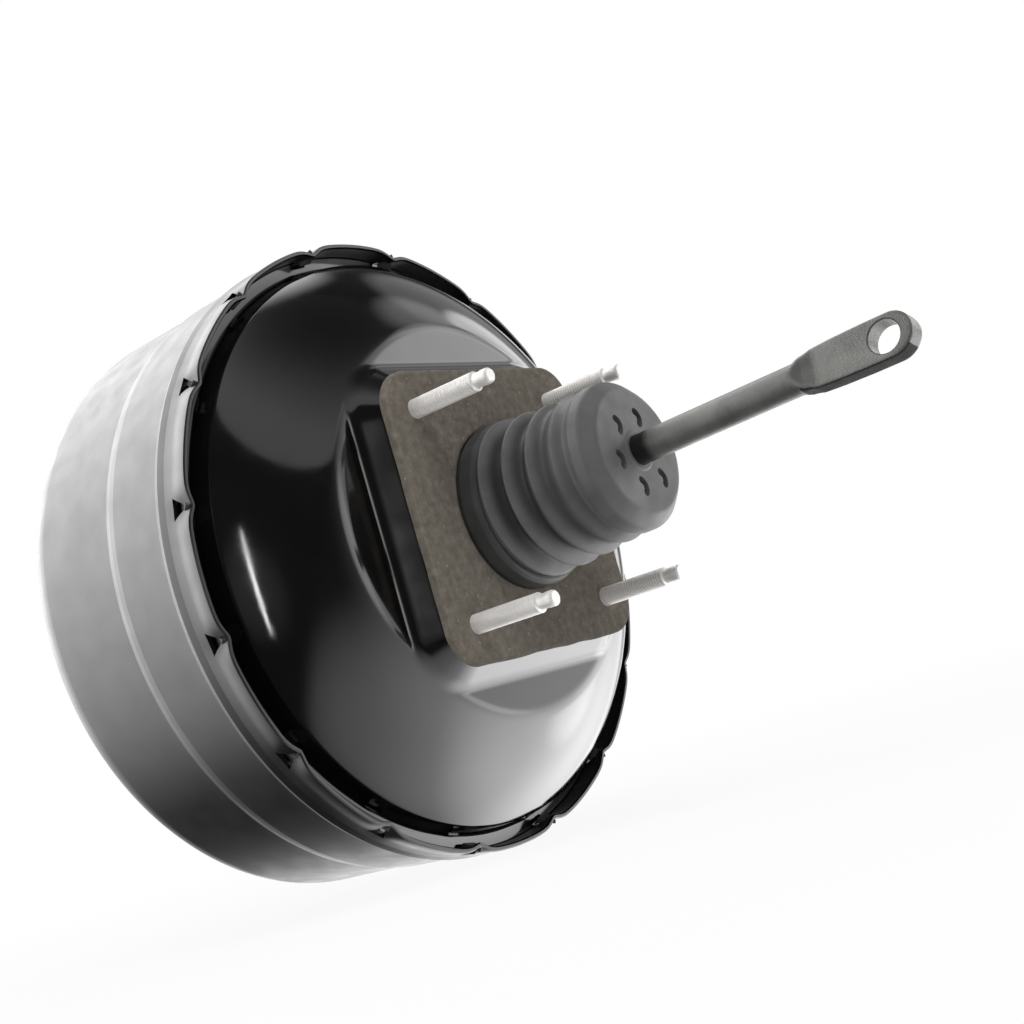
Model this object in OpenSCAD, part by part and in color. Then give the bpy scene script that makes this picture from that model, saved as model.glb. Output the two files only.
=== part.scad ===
// Tandem vacuum brake booster with its control valve, pushrod and boot, in millimetres.
// The booster's axis runs along Y: the firewall side faces -Y, the master cylinder side
// faces +Y and +Z is up. The origin is the centre of the four firewall studs, on the
// rear face of the gasket. It is drawn at rest, with the pushrod resting a little high.

/* [Housing] */
// Outer radius of the rim lip
rim_r = 130; // [126:0.5:134]
// Distance from the gasket's rear face forward to the rim lip
rim_y = 44.5; // [43:0.5:46]
// Length of the drum from the rim lip to its front face
drum_len = 105.5; // [104:0.5:112]
// Sheet thickness of both shells
sheet = 2; // [1.7:0.1:2.2]
// Depth of the groove between the rim lip and the rear shell's flange
lock_depth = 8.5; // [8:0.5:9.5]
// Number of lanced locks round the rim
lance_count = 16; // [12:4:20]
// Width of a lanced lock
lance_w = 9; // [7:0.5:11]
// How far the sheet of a lock is pressed inward
lance_in = 3; // [2.5:0.1:3.5]
// How far the lip is pulled in at each lock
lip_pull = 1.1; // [0.5:0.1:1.5]
// Height of the flare at the divider's seat
flare = 0.8; // [0.4:0.1:1.2]
// Drop in radius at the drum's step
drum_step = 1.6; // [1:0.1:2]
// Taper of the drum wall, in radius, over its front half
drum_taper = 0.6; // [0.4:0.1:1.5]
// Outer radius of the drum's front corner
drum_corner = 13; // [8:0.5:14]
// Drop in radius from the rim lip to the foot of the rear shell's dome
dome_drop = 9; // [8:0.5:11]
// Distance that the dome's foot lies behind the rim lip
dome_back = 2; // [1:0.5:4]
// Radius of the flat circle round the mounting platform
flat_r = 82; // [80:0.5:86]
// Half the angle that the dome's curve turns through
dome_turn = 16; // [8:1:20]

/* [Firewall mounting] */
// Distance between neighbouring firewall studs
stud_pitch = 86; // [84:0.5:88]
// Diameter of a firewall stud
stud_d = 8; // [7:0.5:9]
// Reach of a firewall stud behind the gasket
stud_reach = 39; // [30:1:45]
// Length of a stud's thinner lead-in end
dog_len = 7; // [4:0.5:9]
// Diameter of a stud's thinner lead-in end
dog_d = 6.2; // [5:0.1:6.5]
// Distance from a firewall stud's centre to the edge of the mounting platform
platform_edge = 13; // [12:0.5:14.5]
// Corner radius of the gasket and of the plate behind the platform
platform_corner = 14; // [11:0.5:16]
// Height of the platform above the flat circle
platform_h = 10; // [8:0.5:11]
// How much wider the platform is at its foot than at its top, on each side
platform_draft = 9; // [6:0.5:10]
// Thickness of the foam gasket
gasket_t = 4; // [3:0.5:4.5]
// How far the foam gasket overhangs the platform
gasket_over = 2.75; // [0:0.25:4]
// Radius of the gasket's centre hole
gasket_hole_r = 35.5; // [35.3:0.1:37]
// Thickness of the reinforcement plates
plate_t = 3; // [2.5:0.1:3.2]

/* [Master cylinder mounting] */
// Distance between the two master cylinder studs
mc_pitch = 86; // [82:1:90]
// Diameter of a master cylinder stud
mc_stud_d = 10; // [8:0.5:11]
// Reach of a master cylinder stud in front of the mounting face
mc_stud_reach = 25; // [18:1:32]
// Height of the front boss above the drum's front face
boss_h = 6; // [5:0.5:8]
// Distance from a master cylinder stud's centre to the edge of the front boss
boss_edge = 14; // [12:0.5:17]
// Radius of the recess that takes the master cylinder's spigot
recess_r = 22; // [20:0.5:22.3]
// Depth of the recess that takes the master cylinder's spigot
recess_depth = 14; // [12:0.5:15]

/* [Control valve] */
// Outer radius of the valve body's neck
neck_r = 20; // [19.5:0.1:20.5]
// Bore radius of the valve body's neck
neck_bore_r = 17; // [16.8:0.1:17.5]
// How far the neck reaches behind the gasket
neck_reach = 48; // [46:0.5:50]
// Outer radius of the valve body's hub
hub_r = 35; // [34:0.5:36]
// Radius of the hub's front cavity
cavity_r = 31; // [30.8:0.1:31.5]
// Radius of the valve plunger
plunger_r = 9; // [8.7:0.1:9.3]
// Radius of the reaction disc
reaction_r = 14; // [12.5:0.1:15]
// Thickness of the reaction disc
reaction_t = 5.7; // [5:0.1:6.5]
// Radius of the pushrod's ball
ball_r = 6.5; // [6.2:0.1:6.7]
// Distance of the ball's centre in front of the gasket's rear face
ball_y = 15; // [14.5:0.1:15.5]
// Travel of the plunger inside the valve body
valve_travel = 2; // [1.5:0.1:2.2]

/* [Pushrod] */
// Diameter of the pushrod
rod_d = 12; // [11:0.5:12.5]
// Distance from the ball's centre to the eye's centre
rod_len = 188.7; // [180:0.1:200]
// Radius of the pedal pin's eye
eye_r = 6.2; // [5.8:0.1:6.8]
// Width of the flattened end at the eye
eye_w = 17; // [16:0.5:22]
// Thickness of the flattened end
eye_t = 7.5; // [6:0.5:9]
// Metal beyond the eye's centre
eye_tip = 10.8; // [10:0.1:16]
// Length of the flattened end behind the eye's centre
eye_neck = 33; // [28:1:42]
// Tilt of the pushrod at rest, upward
rod_tilt = 2; // [0:0.1:3]
// Turn of the flattened end about the pushrod's own axis
rod_turn = 18; // [0:1:30]

/* [Boot] */
// Radius of the boot's base ring
boot_base_r = 35; // [34:0.1:35.2]
// Radius of the boot's first fold
boot_fold_r = 34; // [33:0.1:35]
// How much each fold is smaller than the one before
boot_fold_drop = 1; // [0.5:0.1:1.2]
// Radius of the boot's grooves
boot_groove_r = 28.2; // [27.5:0.1:29]
// Distance from the ball's centre to the boot's end face
boot_end = 79; // [77:0.5:81]
// Wall of the boot
boot_wall = 2; // [1.6:0.1:2.4]
// Radius of the boot's end cap
boot_cap_r = 30; // [29:0.5:31]
// Number of vent slots in the end cap
vent_count = 6; // [4:1:8]

/* [Hidden] */
$fn = 96;

// Clearances: between fixed pieces, at a press fit, and between sliding ones
fit = 0.3;
press = 0.05;
slide = 0.15;

// Sizes that follow the rim and the studs
dome_r = rim_r - dome_drop;
platform_w = stud_pitch + 2 * platform_edge;
gasket_w = platform_w + 2 * gasket_over;
boss_r = mc_pitch / 2 + boss_edge;

// Stations along the axis, from the firewall side forward
flat_y = gasket_t + platform_h;
plate_y = gasket_t + sheet;
stop_y = plate_y + plate_t;
hub_stop_t = 3;
hub_y = stop_y + hub_stop_t + fit;
flange_y = rim_y + lock_depth;
rear_bead_t = 4;
rear_bead_y = flange_y + sheet;
divider_y = rear_bead_y + rear_bead_t;
ledge_y = divider_y + sheet;
divider_depth = 23;
disc_y = ledge_y + divider_depth;
step_y = disc_y + 9.7;
front_y = rim_y + drum_len;
boss_y = front_y + boss_h;

// Radii of the housing's inside
band_in = rim_r - sheet;
drum_r = rim_r - 0.4;
drum_front_r = drum_r - drum_step;
skirt_r = drum_r - sheet - 2;
tube_r = neck_r + 8;

// Control valve stations
seat_y = 1.8;
seat_h = 2.2;
chamber_y = seat_y + seat_h;
chamber_len = 6;
chamber_r = plunger_r + 3;
plunger_len = 16.8;
ratio_t = 2;
plunger_y = ball_y + plunger_len;
reaction_y = plunger_y + ratio_t + valve_travel + slide;
head_y = reaction_y + reaction_t;
head_t = 6;
cavity_y = head_y + head_t + 6.3;
retainer_t = 1.5;
hub_end = disc_y + 18;
key_t = 2.5;
key_w = 16;
key_y = ball_y + 11;
retainer_y = -12;
collar_s = ball_y - retainer_y + 12;

// How much thicker a stud is where it is pressed into the sheet
shoulder = 0.5;

// Power pistons
plate_sheet = 2;
membrane = 1.9;
rear_plate_y = hub_y + 7.7;
front_plate_y = disc_y + 4;
rim_gap = 16;
rear_plate_r = dome_r - rim_gap;
front_plate_r = skirt_r - rim_gap - 4;
plate_bend = 2;
plate_foot = 8;
rear_collar = 16;
rear_knee = 14;
rear_knee_in = 4;
rear_knee_bend = 5;
rear_rim = 26;
front_collar = 7;
front_foot = 6;
front_knee = 11;
front_knee_in = 3;
front_knee_bend = 4;
front_face_in = 10;
front_rim = 20;

// Rolls of the diaphragms, and the snap rings' grooves behind the plates' collars
roll_w = 6.5;
roll_bend = 2.5;
roll_rise = 2;
front_climb = 28;
bead_bend = 2.2;
bead_root = 3;
ring_t = 1.6;
ring_depth = 1.6;
rear_ring_y = rear_plate_y + rear_collar + fit;
front_ring_y = front_plate_y + front_collar + fit;

// Return spring
spring_wire = 4;
spring_r = 27;
spring_turns = 7;

// Vacuum check valve, seen from the front: its distance from the axis and its angle
check_inset = 26.4;
check_r = drum_front_r - drum_taper - drum_corner - check_inset;
check_angle = 60;
check_pos = [check_r * cos(check_angle), front_y, check_r * sin(check_angle)];
grommet_r = 11;
stem_r = 8.2;
stem_bore_r = 3.7;
cup_r = 12;
cup_wall = 2;
nipple_r = 5;
nipple_len = 22;
hose_stop_r = 5.9;
hose_stop_len = 2;

// Plane geometry of stamped sheet: points are [radius, station, corner radius]
function unit(v) = v / norm(v);
function flat(p) = [p[0], p[1]];
function reversed(p) = [for (i = [len(p) - 1:-1:0]) p[i]];

// Points of an arc about c, from angle a by sweep s
function arc(c, r, a, s, n) = [for (i = [0:n]) c + r * [cos(a + s * i / n), sin(a + s * i / n)]];

// One corner of an outline, rounded to its own radius
function corner(a, b, c, r, n) =
    let (u = unit(a - b), v = unit(c - b), h = acos(u * v) / 2,
         o = b + unit(u + v) * r / sin(h), s = b + u * r / tan(h) - o,
         turn = sign(cross(b - a, c - b)) * (180 - 2 * h))
    arc(o, r, atan2(s[1], s[0]), turn, n);

// An open outline with its corners rounded
function rounded(p, n = 4) = [for (i = [0:len(p) - 1])
    each (i == 0 || i == len(p) - 1 || p[i][2] == undef)
        ? [flat(p[i])]
        : corner(flat(p[i - 1]), flat(p[i]), flat(p[i + 1]), p[i][2], n)];

// The left-hand normal at one point of an outline, lengthened for the mitre
function mitre(p, i) =
    let (a = unit(p[max(i, 1)] - p[max(i, 1) - 1]),
         b = unit(p[min(i, len(p) - 2) + 1] - p[min(i, len(p) - 2)]), m = unit(a + b))
    [-m[1], m[0]] / (m * a);
function shifted(p, d) = [for (i = [0:len(p) - 1]) p[i] + d * mitre(p, i)];

// Sheet of thickness t on the left of an outline
function strip(p, t) = concat(p, reversed(shifted(p, t)));

// A shallow curve from a to b that turns through twice the angle h, to the left
function bowed(a, b, h, n) =
    let (d = b - a, r = norm(d) / (2 * sin(h)), m = (a + b) / 2,
         c = m + [-d[1], d[0]] / norm(d) * r * cos(h), s = a - c)
    arc(c, r, atan2(s[1], s[0]), 2 * h, n);

// A helix of round wire along Z, as one closed sweep
function coil_ring(r, wire, turns, len, t, sides) = [for (k = [0:sides - 1])
    let (q = r + wire / 2 * cos(360 * k / sides))
    [q * cos(360 * turns * t), q * sin(360 * turns * t),
        len * t + wire / 2 * sin(360 * k / sides)]];

module coil(r, wire, turns, len, steps = 20, sides = 8) {
    rings = round(turns * steps);
    points = [for (i = [0:rings]) each coil_ring(r, wire, turns, len, i / rings, sides)];
    sides_faces = [for (i = [0:rings - 1], k = [0:sides - 1])
        each [[i * sides + k, i * sides + (k + 1) % sides, (i + 1) * sides + k],
            [i * sides + (k + 1) % sides, (i + 1) * sides + (k + 1) % sides,
                (i + 1) * sides + k]]];
    ends = [[for (k = [0:sides - 1]) sides - 1 - k],
        [for (k = [0:sides - 1]) rings * sides + k]];
    polyhedron(points, [for (f = concat(sides_faces, ends)) reversed(f)], convexity = 10);
}

// Turned pieces: the outline's second value is the station along the axis
module along_y(y = 0) {
    translate([0, y, 0]) rotate([-90, 0, 0]) children();
}
module turned(p) {
    along_y() rotate_extrude() polygon(p);
}
module ring(r_in, r_out, y0, y1) {
    turned([[r_in, y0], [r_out, y0], [r_out, y1], [r_in, y1]]);
}
module bar(r, y0, y1) {
    along_y(y0) cylinder(r = r, h = y1 - y0);
}

// Square plates of the firewall platform
module rounded_square(w, r) {
    square([w, w - 2 * r], center = true);
    square([w - 2 * r, w], center = true);
    for (x = [-1, 1], z = [-1, 1]) {
        translate([x, z] * (w / 2 - r)) circle(r = r, $fn = 48);
    }
}
module square_plate(w, r, y0, y1) {
    along_y(y0) linear_extrude(y1 - y0) rounded_square(w, r);
}
// A plate with drafted sides, whose corners are trimmed by a cone that ends at the flat circle
draft = platform_draft / platform_h;
module drafted_side(inset, y0, y1) {
    w0 = platform_w / 2 + (y0 - gasket_t) * draft - inset;
    w1 = platform_w / 2 + (y1 - gasket_t) * draft - inset;
    linear_extrude(2 * flat_r, center = true) polygon([[-w0, y0], [w0, y0], [w1, y1], [-w1, y1]]);
}
module drafted_plate(inset, y0, y1) {
    r0 = flat_r + (y0 - flat_y) * draft - inset;
    r1 = flat_r + (y1 - flat_y) * draft - inset;
    intersection() {
        drafted_side(inset, y0, y1);
        rotate([0, 90, 0]) drafted_side(inset, y0, y1);
        turned([[0, y0], [r0, y0], [r1, y1], [0, y1]]);
    }
}
module at_studs() {
    for (x = [-1, 1], z = [-1, 1]) translate([x, 0, z] * stud_pitch / 2) children();
}
module stud_holes(y0, y1, extra) {
    at_studs() bar(stud_d / 2 + shoulder + extra, y0, y1, $fn = 32);
}

// The pushrod's own frame: Z runs from the ball to the eye, X across the eye's faces
module on_rod() {
    translate([0, ball_y, 0]) rotate([90 - rod_tilt, 0, 0]) children();
}

// Rear shell: dome, flat circle, square platform, neck tube and clamped flange
dome_path = concat(
    [[0, flat_y]],
    bowed([flat_r, flat_y], [dome_r - 0.5, rim_y - dome_back], dome_turn, 10),
    rounded([[dome_r, rim_y - dome_back + 1.5], [dome_r + 1, flange_y, 1.5],
        [band_in - fit, flange_y]]));
dome_inner = shifted(dome_path, sheet);
module dome_fill(p, front) {
    turned(concat(p, [[p[len(p) - 1][0], front], [0, front]]));
}
module rear_shell() {
    front = rear_bead_y;
    color([0.03, 0.03, 0.035]) difference() {
        union() {
            dome_fill(dome_path, front);
            drafted_plate(0, gasket_t, flat_y + sheet);
            bar(tube_r + sheet, -6, plate_y);
        }
        dome_fill([for (p = dome_inner) [min(p[0], band_in), p[1]]], front + sheet);
        drafted_plate(sheet * sqrt(1 + draft * draft), plate_y, flat_y + 2 * sheet);
        bar(tube_r, -7, plate_y + 1);
        stud_holes(gasket_t - 1, plate_y + 1, press);
    }
}

module gasket() {
    color([0.33, 0.3, 0.26]) difference() {
        square_plate(gasket_w, platform_corner, 0, gasket_t);
        bar(gasket_hole_r, -1, gasket_t + 1);
        stud_holes(-1, gasket_t + 1, fit);
    }
}

// Four identical studs, with heads clinched behind the reinforcement plate
module firewall_studs() {
    bevel = (stud_d - dog_d) / 2;
    color([0.82, 0.82, 0.8]) at_studs() turned([
        [0, -stud_reach], [dog_d / 2 - bevel, -stud_reach], [dog_d / 2, bevel - stud_reach],
        [dog_d / 2, dog_len - stud_reach], [stud_d / 2, dog_len + bevel - stud_reach],
        [stud_d / 2, 0], [stud_d / 2 + shoulder, 0], [stud_d / 2 + shoulder, stop_y],
        [stud_d / 2 + 3, stop_y], [stud_d / 2 + 3, stop_y + plate_t - 1],
        [stud_d / 2 + 2, stop_y + plate_t], [0, stop_y + plate_t]], $fn = 32);
}

module rear_reinforcement() {
    inner = platform_w - 2 * sheet - 2 * fit;
    color([0.62, 0.58, 0.42]) difference() {
        square_plate(inner, platform_corner - sheet, plate_y, stop_y);
        bar(tube_r, plate_y - 1, stop_y + 1);
        stud_holes(plate_y - 1, stop_y + 1, press);
    }
}

// Guide, lip seal and pressed ring of the neck
module neck_bush() {
    color([0.75, 0.73, 0.66]) turned([[neck_r + slide, gasket_t], [tube_r - press, gasket_t],
        [tube_r - press, stop_y], [tube_r + 5, stop_y], [tube_r + 5, stop_y + hub_stop_t],
        [neck_r + slide, stop_y + hub_stop_t]]);
}
module neck_seal() {
    color([0.05, 0.05, 0.05]) turned([[neck_r + slide, -1], [neck_r + 1.5, -4],
        [tube_r - press, -4], [tube_r - press, gasket_t - press],
        [neck_r + 3, gasket_t - press], [neck_r + 3, 0.5], [neck_r + slide, 0.5]]);
}
module seal_retainer() {
    color([0.7, 0.7, 0.68]) ring(neck_r + 1.5, tube_r - press, -6, -4 - press);
}

// Boot: a base ring on the neck tube, four folds, and an end cap with vent slots
boot_folds = 4;
cap_len = 10.5;
cap_neck = 2.8;
cap_slope = 5;
cap_bend = 3;
skirt_taper = 1.8;
skirt_start = 1.5;
fold_offset = 8;
fold_start = ball_y + fold_offset;
fold_round = 2.4;
fold_pitch = (boot_end - cap_len - cap_neck - fold_start) / (boot_folds - 0.5);
function fold_line(i) = [[boot_fold_r - i * boot_fold_drop + 0.4 * fold_round,
        fold_start + i * fold_pitch, fold_round],
    [boot_groove_r - 0.4 * fold_round, fold_start + (i + 0.5) * fold_pitch, fold_round]];
boot_path = rounded(concat([[boot_base_r - skirt_taper, ball_y + skirt_start]],
    [for (i = [0:boot_folds - 1]) each fold_line(i)],
    [[boot_cap_r, boot_end - cap_len, cap_bend / 2], [boot_cap_r, boot_end - cap_slope, cap_bend],
        [boot_cap_r - cap_slope, boot_end, boot_wall], [rod_d / 2 + press, boot_end]]), 4);
// A vent is a crescent slot; all of them open the same way
vent_place = 14.5;
vent_first = 9;
vent_r = 2.7;
vent_w = 2.5;
vent_back = 1;
vent_sweep = 140;
vent_turn = 5;
module vent_slot() {
    translate([-vent_back, 0]) intersection() {
        difference() {
            circle(r = vent_r + vent_w / 2, $fn = 48);
            circle(r = vent_r - vent_w / 2, $fn = 48);
        }
        polygon(concat([[0, 0]],
            arc([0, 0], 3 * vent_r, vent_turn - vent_sweep / 2, vent_sweep, 4)));
    }
}
base_back = 7;
base_bevel = 1.5;
module boot() {
    base_in = tube_r + sheet + slide;
    color([0.16, 0.16, 0.17]) union() {
        turned([[base_in, gasket_t - fit], [base_in, base_bevel - base_back],
            [base_in + boot_wall, -base_back], [boot_base_r - 1, boot_wall - base_back],
            [boot_base_r, boot_wall + base_bevel - base_back], [boot_base_r, gasket_t - fit]]);
        on_rod() difference() {
            rotate_extrude() polygon(strip(boot_path, boot_wall));
            for (k = [0:vent_count - 1]) {
                a = vent_first + 360 * k / vent_count;
                translate([vent_place * cos(a), vent_place * sin(a), boot_end - boot_wall - 1])
                    linear_extrude(boot_wall + 2) vent_slot();
            }
        }
    }
}

// Air filter and felt silencer inside the neck's open end
filter_gap = 6.8;
filter_recess = 2;
filter_len = 14;
felt_len = 4;
filter_in = rod_d / 2 + filter_gap;
filter_y = filter_recess - neck_reach;
felt_y = filter_y + filter_len;
module air_filter() {
    color([0.2, 0.2, 0.22]) ring(filter_in, neck_bore_r - slide, filter_y, felt_y);
}
module silencer() {
    color([0.55, 0.5, 0.42]) ring(filter_in, neck_bore_r - slide, felt_y, felt_y + felt_len);
}

// Pushrod: a turned neck, a spring collar, and a forged flat with the pedal pin's eye
neck_rod_r = 4;
eye_flare = 1.9;
module rod_shank() {
    s = ball_y - seat_y;
    rotate_extrude($fn = 48) polygon([[0, 4], [neck_rod_r, 4], [neck_rod_r, s], [rod_d / 2, s + 4],
        [rod_d / 2, collar_s], [rod_d / 2 + 4, collar_s], [rod_d / 2 + 4, collar_s + 2],
        [rod_d / 2, collar_s + 2], [rod_d / 2, rod_len - eye_neck + 6], [0, rod_len - eye_neck + 6]]);
}
module eye_outline() {
    tip_r = eye_w / 2;
    translate([0, rod_len + eye_tip - tip_r]) circle(r = tip_r, $fn = 48);
    polygon(concat([[rod_d / 2, rod_len - eye_neck - 4]],
        [[rod_d / 2 + eye_flare, rod_len - eye_neck + 5], [tip_r, rod_len - 8],
            [tip_r, rod_len + eye_tip - tip_r]],
        [[-tip_r, rod_len + eye_tip - tip_r], [-tip_r, rod_len - 8],
            [-rod_d / 2 - eye_flare, rod_len - eye_neck + 5], [-rod_d / 2, rod_len - eye_neck - 4]]));
}
module eye_profile() {
    polygon([[rod_d / 2, rod_len - eye_neck - 4], [eye_t / 2, rod_len - eye_neck + 5],
        [eye_t / 2, rod_len + eye_tip], [-eye_t / 2, rod_len + eye_tip],
        [-eye_t / 2, rod_len - eye_neck + 5], [-rod_d / 2, rod_len - eye_neck - 4]]);
}
module eye_flat() {
    intersection() {
        rotate([90, 0, 90]) linear_extrude(2 * rod_d, center = true) eye_outline();
        rotate([90, 0, 0]) linear_extrude(2 * eye_w, center = true) eye_profile();
    }
}
module input_rod() {
    color([0.28, 0.28, 0.27]) on_rod() rotate(-rod_turn) difference() {
        union() {
            intersection() {
                rod_shank();
                rotate([90, 0, 0]) linear_extrude(4 * rod_d, center = true) union() {
                    translate([-2 * rod_d, 0]) square([4 * rod_d, rod_len - eye_neck - 4]);
                    eye_profile();
                }
            }
            eye_flat();
        }
        sphere(r = ball_r + press, $fn = 64);
        translate([-rod_d, 0, rod_len]) rotate([0, 90, 0]) cylinder(r = eye_r, h = 2 * rod_d, $fn = 64);
    }
}
module input_rod_ball() {
    color([0.45, 0.45, 0.44]) translate([0, ball_y, 0]) sphere(r = ball_r, $fn = 64);
}
module rod_spring() {
    wire = 1.4;
    len = collar_s - (ball_y - retainer_y) - 2 * fit - wire;
    color([0.6, 0.6, 0.6]) on_rod() translate([0, 0, collar_s - fit - wire / 2]) rotate([180, 0, 0])
        coil(rod_d / 2 + 2.6, wire, 3.5, len - 0.8, 16, 6);
}

// Poppet, its retainer and its spring
poppet_y = seat_y - fit;
poppet_in = rod_d / 2 + 2.2;
retainer_in = rod_d / 2 + 3.5;
module poppet() {
    wall_r = neck_bore_r - 4;
    color([0.06, 0.06, 0.06]) turned([[poppet_in, poppet_y - 2.6], [neck_bore_r - 2, poppet_y - 2.6],
        [neck_bore_r - 2, poppet_y], [poppet_in, poppet_y]]);
    color([0.06, 0.06, 0.06]) turned([[wall_r - 1.3, poppet_y - 2.6], [wall_r - 1.3, retainer_y + 3],
        [neck_bore_r - press, retainer_y + 3], [neck_bore_r - press, retainer_y + 5],
        [wall_r, retainer_y + 5], [wall_r, poppet_y - 2.6]]);
}
module poppet_retainer() {
    color([0.72, 0.7, 0.6]) turned([[retainer_in, retainer_y], [neck_bore_r - press, retainer_y],
        [neck_bore_r - press, retainer_y + 3 - press], [neck_bore_r - 1.5, retainer_y + 3 - press],
        [neck_bore_r - 1.5, retainer_y + 1.5], [retainer_in, retainer_y + 1.5]]);
}
module poppet_spring() {
    wire = 0.8;
    start = retainer_y + 1.5 + fit + wire / 2;
    len = poppet_y - 2.6 - fit - wire / 2 - start;
    color([0.6, 0.6, 0.6]) along_y(start) coil(poppet_in + 2, wire, 3, len, 16, 6);
}

// Valve plunger with its air seat, ball socket and key groove
module plunger() {
    bore_fit = slide;
    mouth_r = ball_r - 0.9;
    mouth_y = ball_y - sqrt(pow(ball_r + press, 2) - pow(mouth_r, 2));
    color([0.55, 0.55, 0.53]) difference() {
        turned([[0, seat_y], [chamber_r - 1.2, seat_y], [chamber_r - 1.2, seat_y + 3],
            [plunger_r - bore_fit, seat_y + 4], [plunger_r - bore_fit, plunger_y], [0, plunger_y]]);
        translate([0, ball_y, 0]) sphere(r = ball_r + press, $fn = 64);
        turned([[0, seat_y - 1], [mouth_r + 2.6, seat_y - 1], [mouth_r, mouth_y], [0, mouth_y]]);
        ring(plunger_r - 3, plunger_r + 1, key_y - valve_travel - slide, key_y + key_t + slide);
    }
}
module ratio_disc() {
    color([0.75, 0.75, 0.75]) bar(plunger_r - slide - 0.2, plunger_y, plunger_y + ratio_t, $fn = 48);
}
// Flat key that limits the plunger's travel
module stop_key() {
    reach = hub_r - 1;
    color([0.7, 0.7, 0.68]) difference() {
        translate([-plunger_r - 3, key_y, -key_w / 2]) cube([reach + plunger_r + 3, key_t, key_w]);
        bar(plunger_r - 3 + slide, key_y - 1, key_y + key_t + 1, $fn = 48);
        translate([-plunger_r - 4, key_y - 1, -plunger_r + 3 - slide])
            cube([plunger_r + 4, key_t + 2, 2 * (plunger_r - 3 + slide)]);
    }
}
module reaction_disc() {
    color([0.08, 0.08, 0.08]) bar(reaction_r, reaction_y, head_y, $fn = 64);
}

// Valve body: neck, hub, air chamber, plunger bore, reaction recess and front cavity
module valve_body() {
    rear = -neck_reach;
    guide_r = reaction_r + slide;
    color([0.2, 0.17, 0.14]) difference() {
        turned([[neck_bore_r, rear], [neck_r, rear], [neck_r, hub_y], [hub_r, hub_y],
            [hub_r, hub_end], [cavity_r, hub_end], [cavity_r, cavity_y], [guide_r, cavity_y],
            [guide_r, reaction_y], [plunger_r, reaction_y],
            [plunger_r, chamber_y + chamber_len], [chamber_r, chamber_y + chamber_len],
            [chamber_r, seat_y], [chamber_r + 1.6, seat_y],
            [chamber_r + 2.2, chamber_y], [neck_bore_r, chamber_y]]);
        translate([-plunger_r - 3 - slide, key_y - press, -key_w / 2 - slide])
            cube([hub_r + plunger_r + 8, key_t + 2 * press, key_w + 2 * slide]);
        for (a = [90, 270]) rotate([0, a, 0]) translate([15.6, chamber_y - 0.5, 0])
            rotate([-90, 0, -8]) cylinder(r = 1.7, h = cavity_y, $fn = 24);
        for (y = [rear_ring_y, front_ring_y]) {
            ring(hub_r - ring_depth, hub_r + 1, y, y + ring_t + 2 * press);
        }
    }
}

// Stamped piston plates and their rolling diaphragms
rear_plate_path = rounded([[hub_r + fit, rear_plate_y + rear_collar],
    [hub_r + fit, rear_plate_y, plate_bend], [flat_r - sheet, rear_plate_y, plate_foot],
    [rear_plate_r - rear_knee_in, rear_plate_y + rear_knee, rear_knee_bend],
    [rear_plate_r, rear_plate_y + rear_rim]]);
front_plate_path = rounded([[hub_r + fit, front_plate_y + front_collar],
    [hub_r + fit, front_plate_y, plate_bend],
    [front_plate_r - front_face_in, front_plate_y, front_foot],
    [front_plate_r - front_knee_in, front_plate_y + front_knee, front_knee_bend],
    [front_plate_r, front_plate_y + front_rim]]);
module rear_plate() {
    color([0.6, 0.57, 0.42]) turned(strip(rear_plate_path, plate_sheet));
}
module front_plate() {
    color([0.6, 0.57, 0.42]) turned(strip(front_plate_path, plate_sheet));
}
// A diaphragm lies against its plate, climbs past the plate's rim to roll_y, rolls over
// and comes back to its bead. The plate's first points, its collar, are left out.
function membrane_line(plate, roll_y, bead_y, bead_r) =
    let (q = shifted(plate, -membrane - press), last = len(q) - 1,
         rim = q[last] + unit(q[last] - q[last - 1]) * membrane, r = rim[0])
    concat([[hub_r + fit, plate[6][1] - membrane - press]], [for (i = [6:last - 1]) q[i]],
        rounded([rim, [r, roll_y, roll_bend], [r + roll_w, roll_y, roll_bend],
            [r + roll_w, bead_y, bead_bend], [bead_r, bead_y]]));
module rear_diaphragm() {
    bead_in = dome_r + 1;
    color([0.09, 0.09, 0.09]) union() {
        turned(strip(membrane_line(rear_plate_path, ledge_y + roll_rise, rear_bead_y + 1,
            bead_in + 1), membrane));
        ring(bead_in, band_in - fit, rear_bead_y + press, divider_y - press);
    }
}
module front_diaphragm() {
    bead_in = skirt_r - 6;
    color([0.09, 0.09, 0.09]) union() {
        turned(strip(membrane_line(front_plate_path, front_plate_y + front_climb,
            disc_y + bead_root, bead_in + 1), membrane));
        ring(bead_in, drum_front_r - sheet - fit, disc_y + press, step_y - 2);
    }
}
// Two identical snap rings that hold the piston plates on the hub
module plate_rings() {
    color([0.5, 0.5, 0.5]) for (y = [rear_ring_y, front_ring_y]) {
        ring(hub_r - ring_depth + press, hub_r + 3, y + press, y + press + ring_t);
    }
}

// Divider between the two vacuum chambers, with its own guide and seal
collar_r = hub_r + 6.2;
divider_path = rounded([[band_in - fit, ledge_y], [skirt_r, ledge_y, 1], [skirt_r, disc_y, 4],
    [collar_r, disc_y, 2.5], [collar_r, disc_y - 10]]);
module divider_plate() {
    color([0.6, 0.57, 0.42]) turned(strip(divider_path, sheet));
}
module divider_bush() {
    color([0.75, 0.73, 0.66]) ring(hub_r + slide, collar_r - press, disc_y - 10, disc_y - 6);
}
module divider_seal() {
    color([0.05, 0.05, 0.05]) turned([[hub_r + slide, disc_y - 4], [hub_r + 1.5, disc_y - 6 + press],
        [collar_r - press, disc_y - 6 + press], [collar_r - press, disc_y - 3],
        [hub_r + 3, disc_y - 1.5], [hub_r + slide, disc_y - 1.5]]);
}

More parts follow.
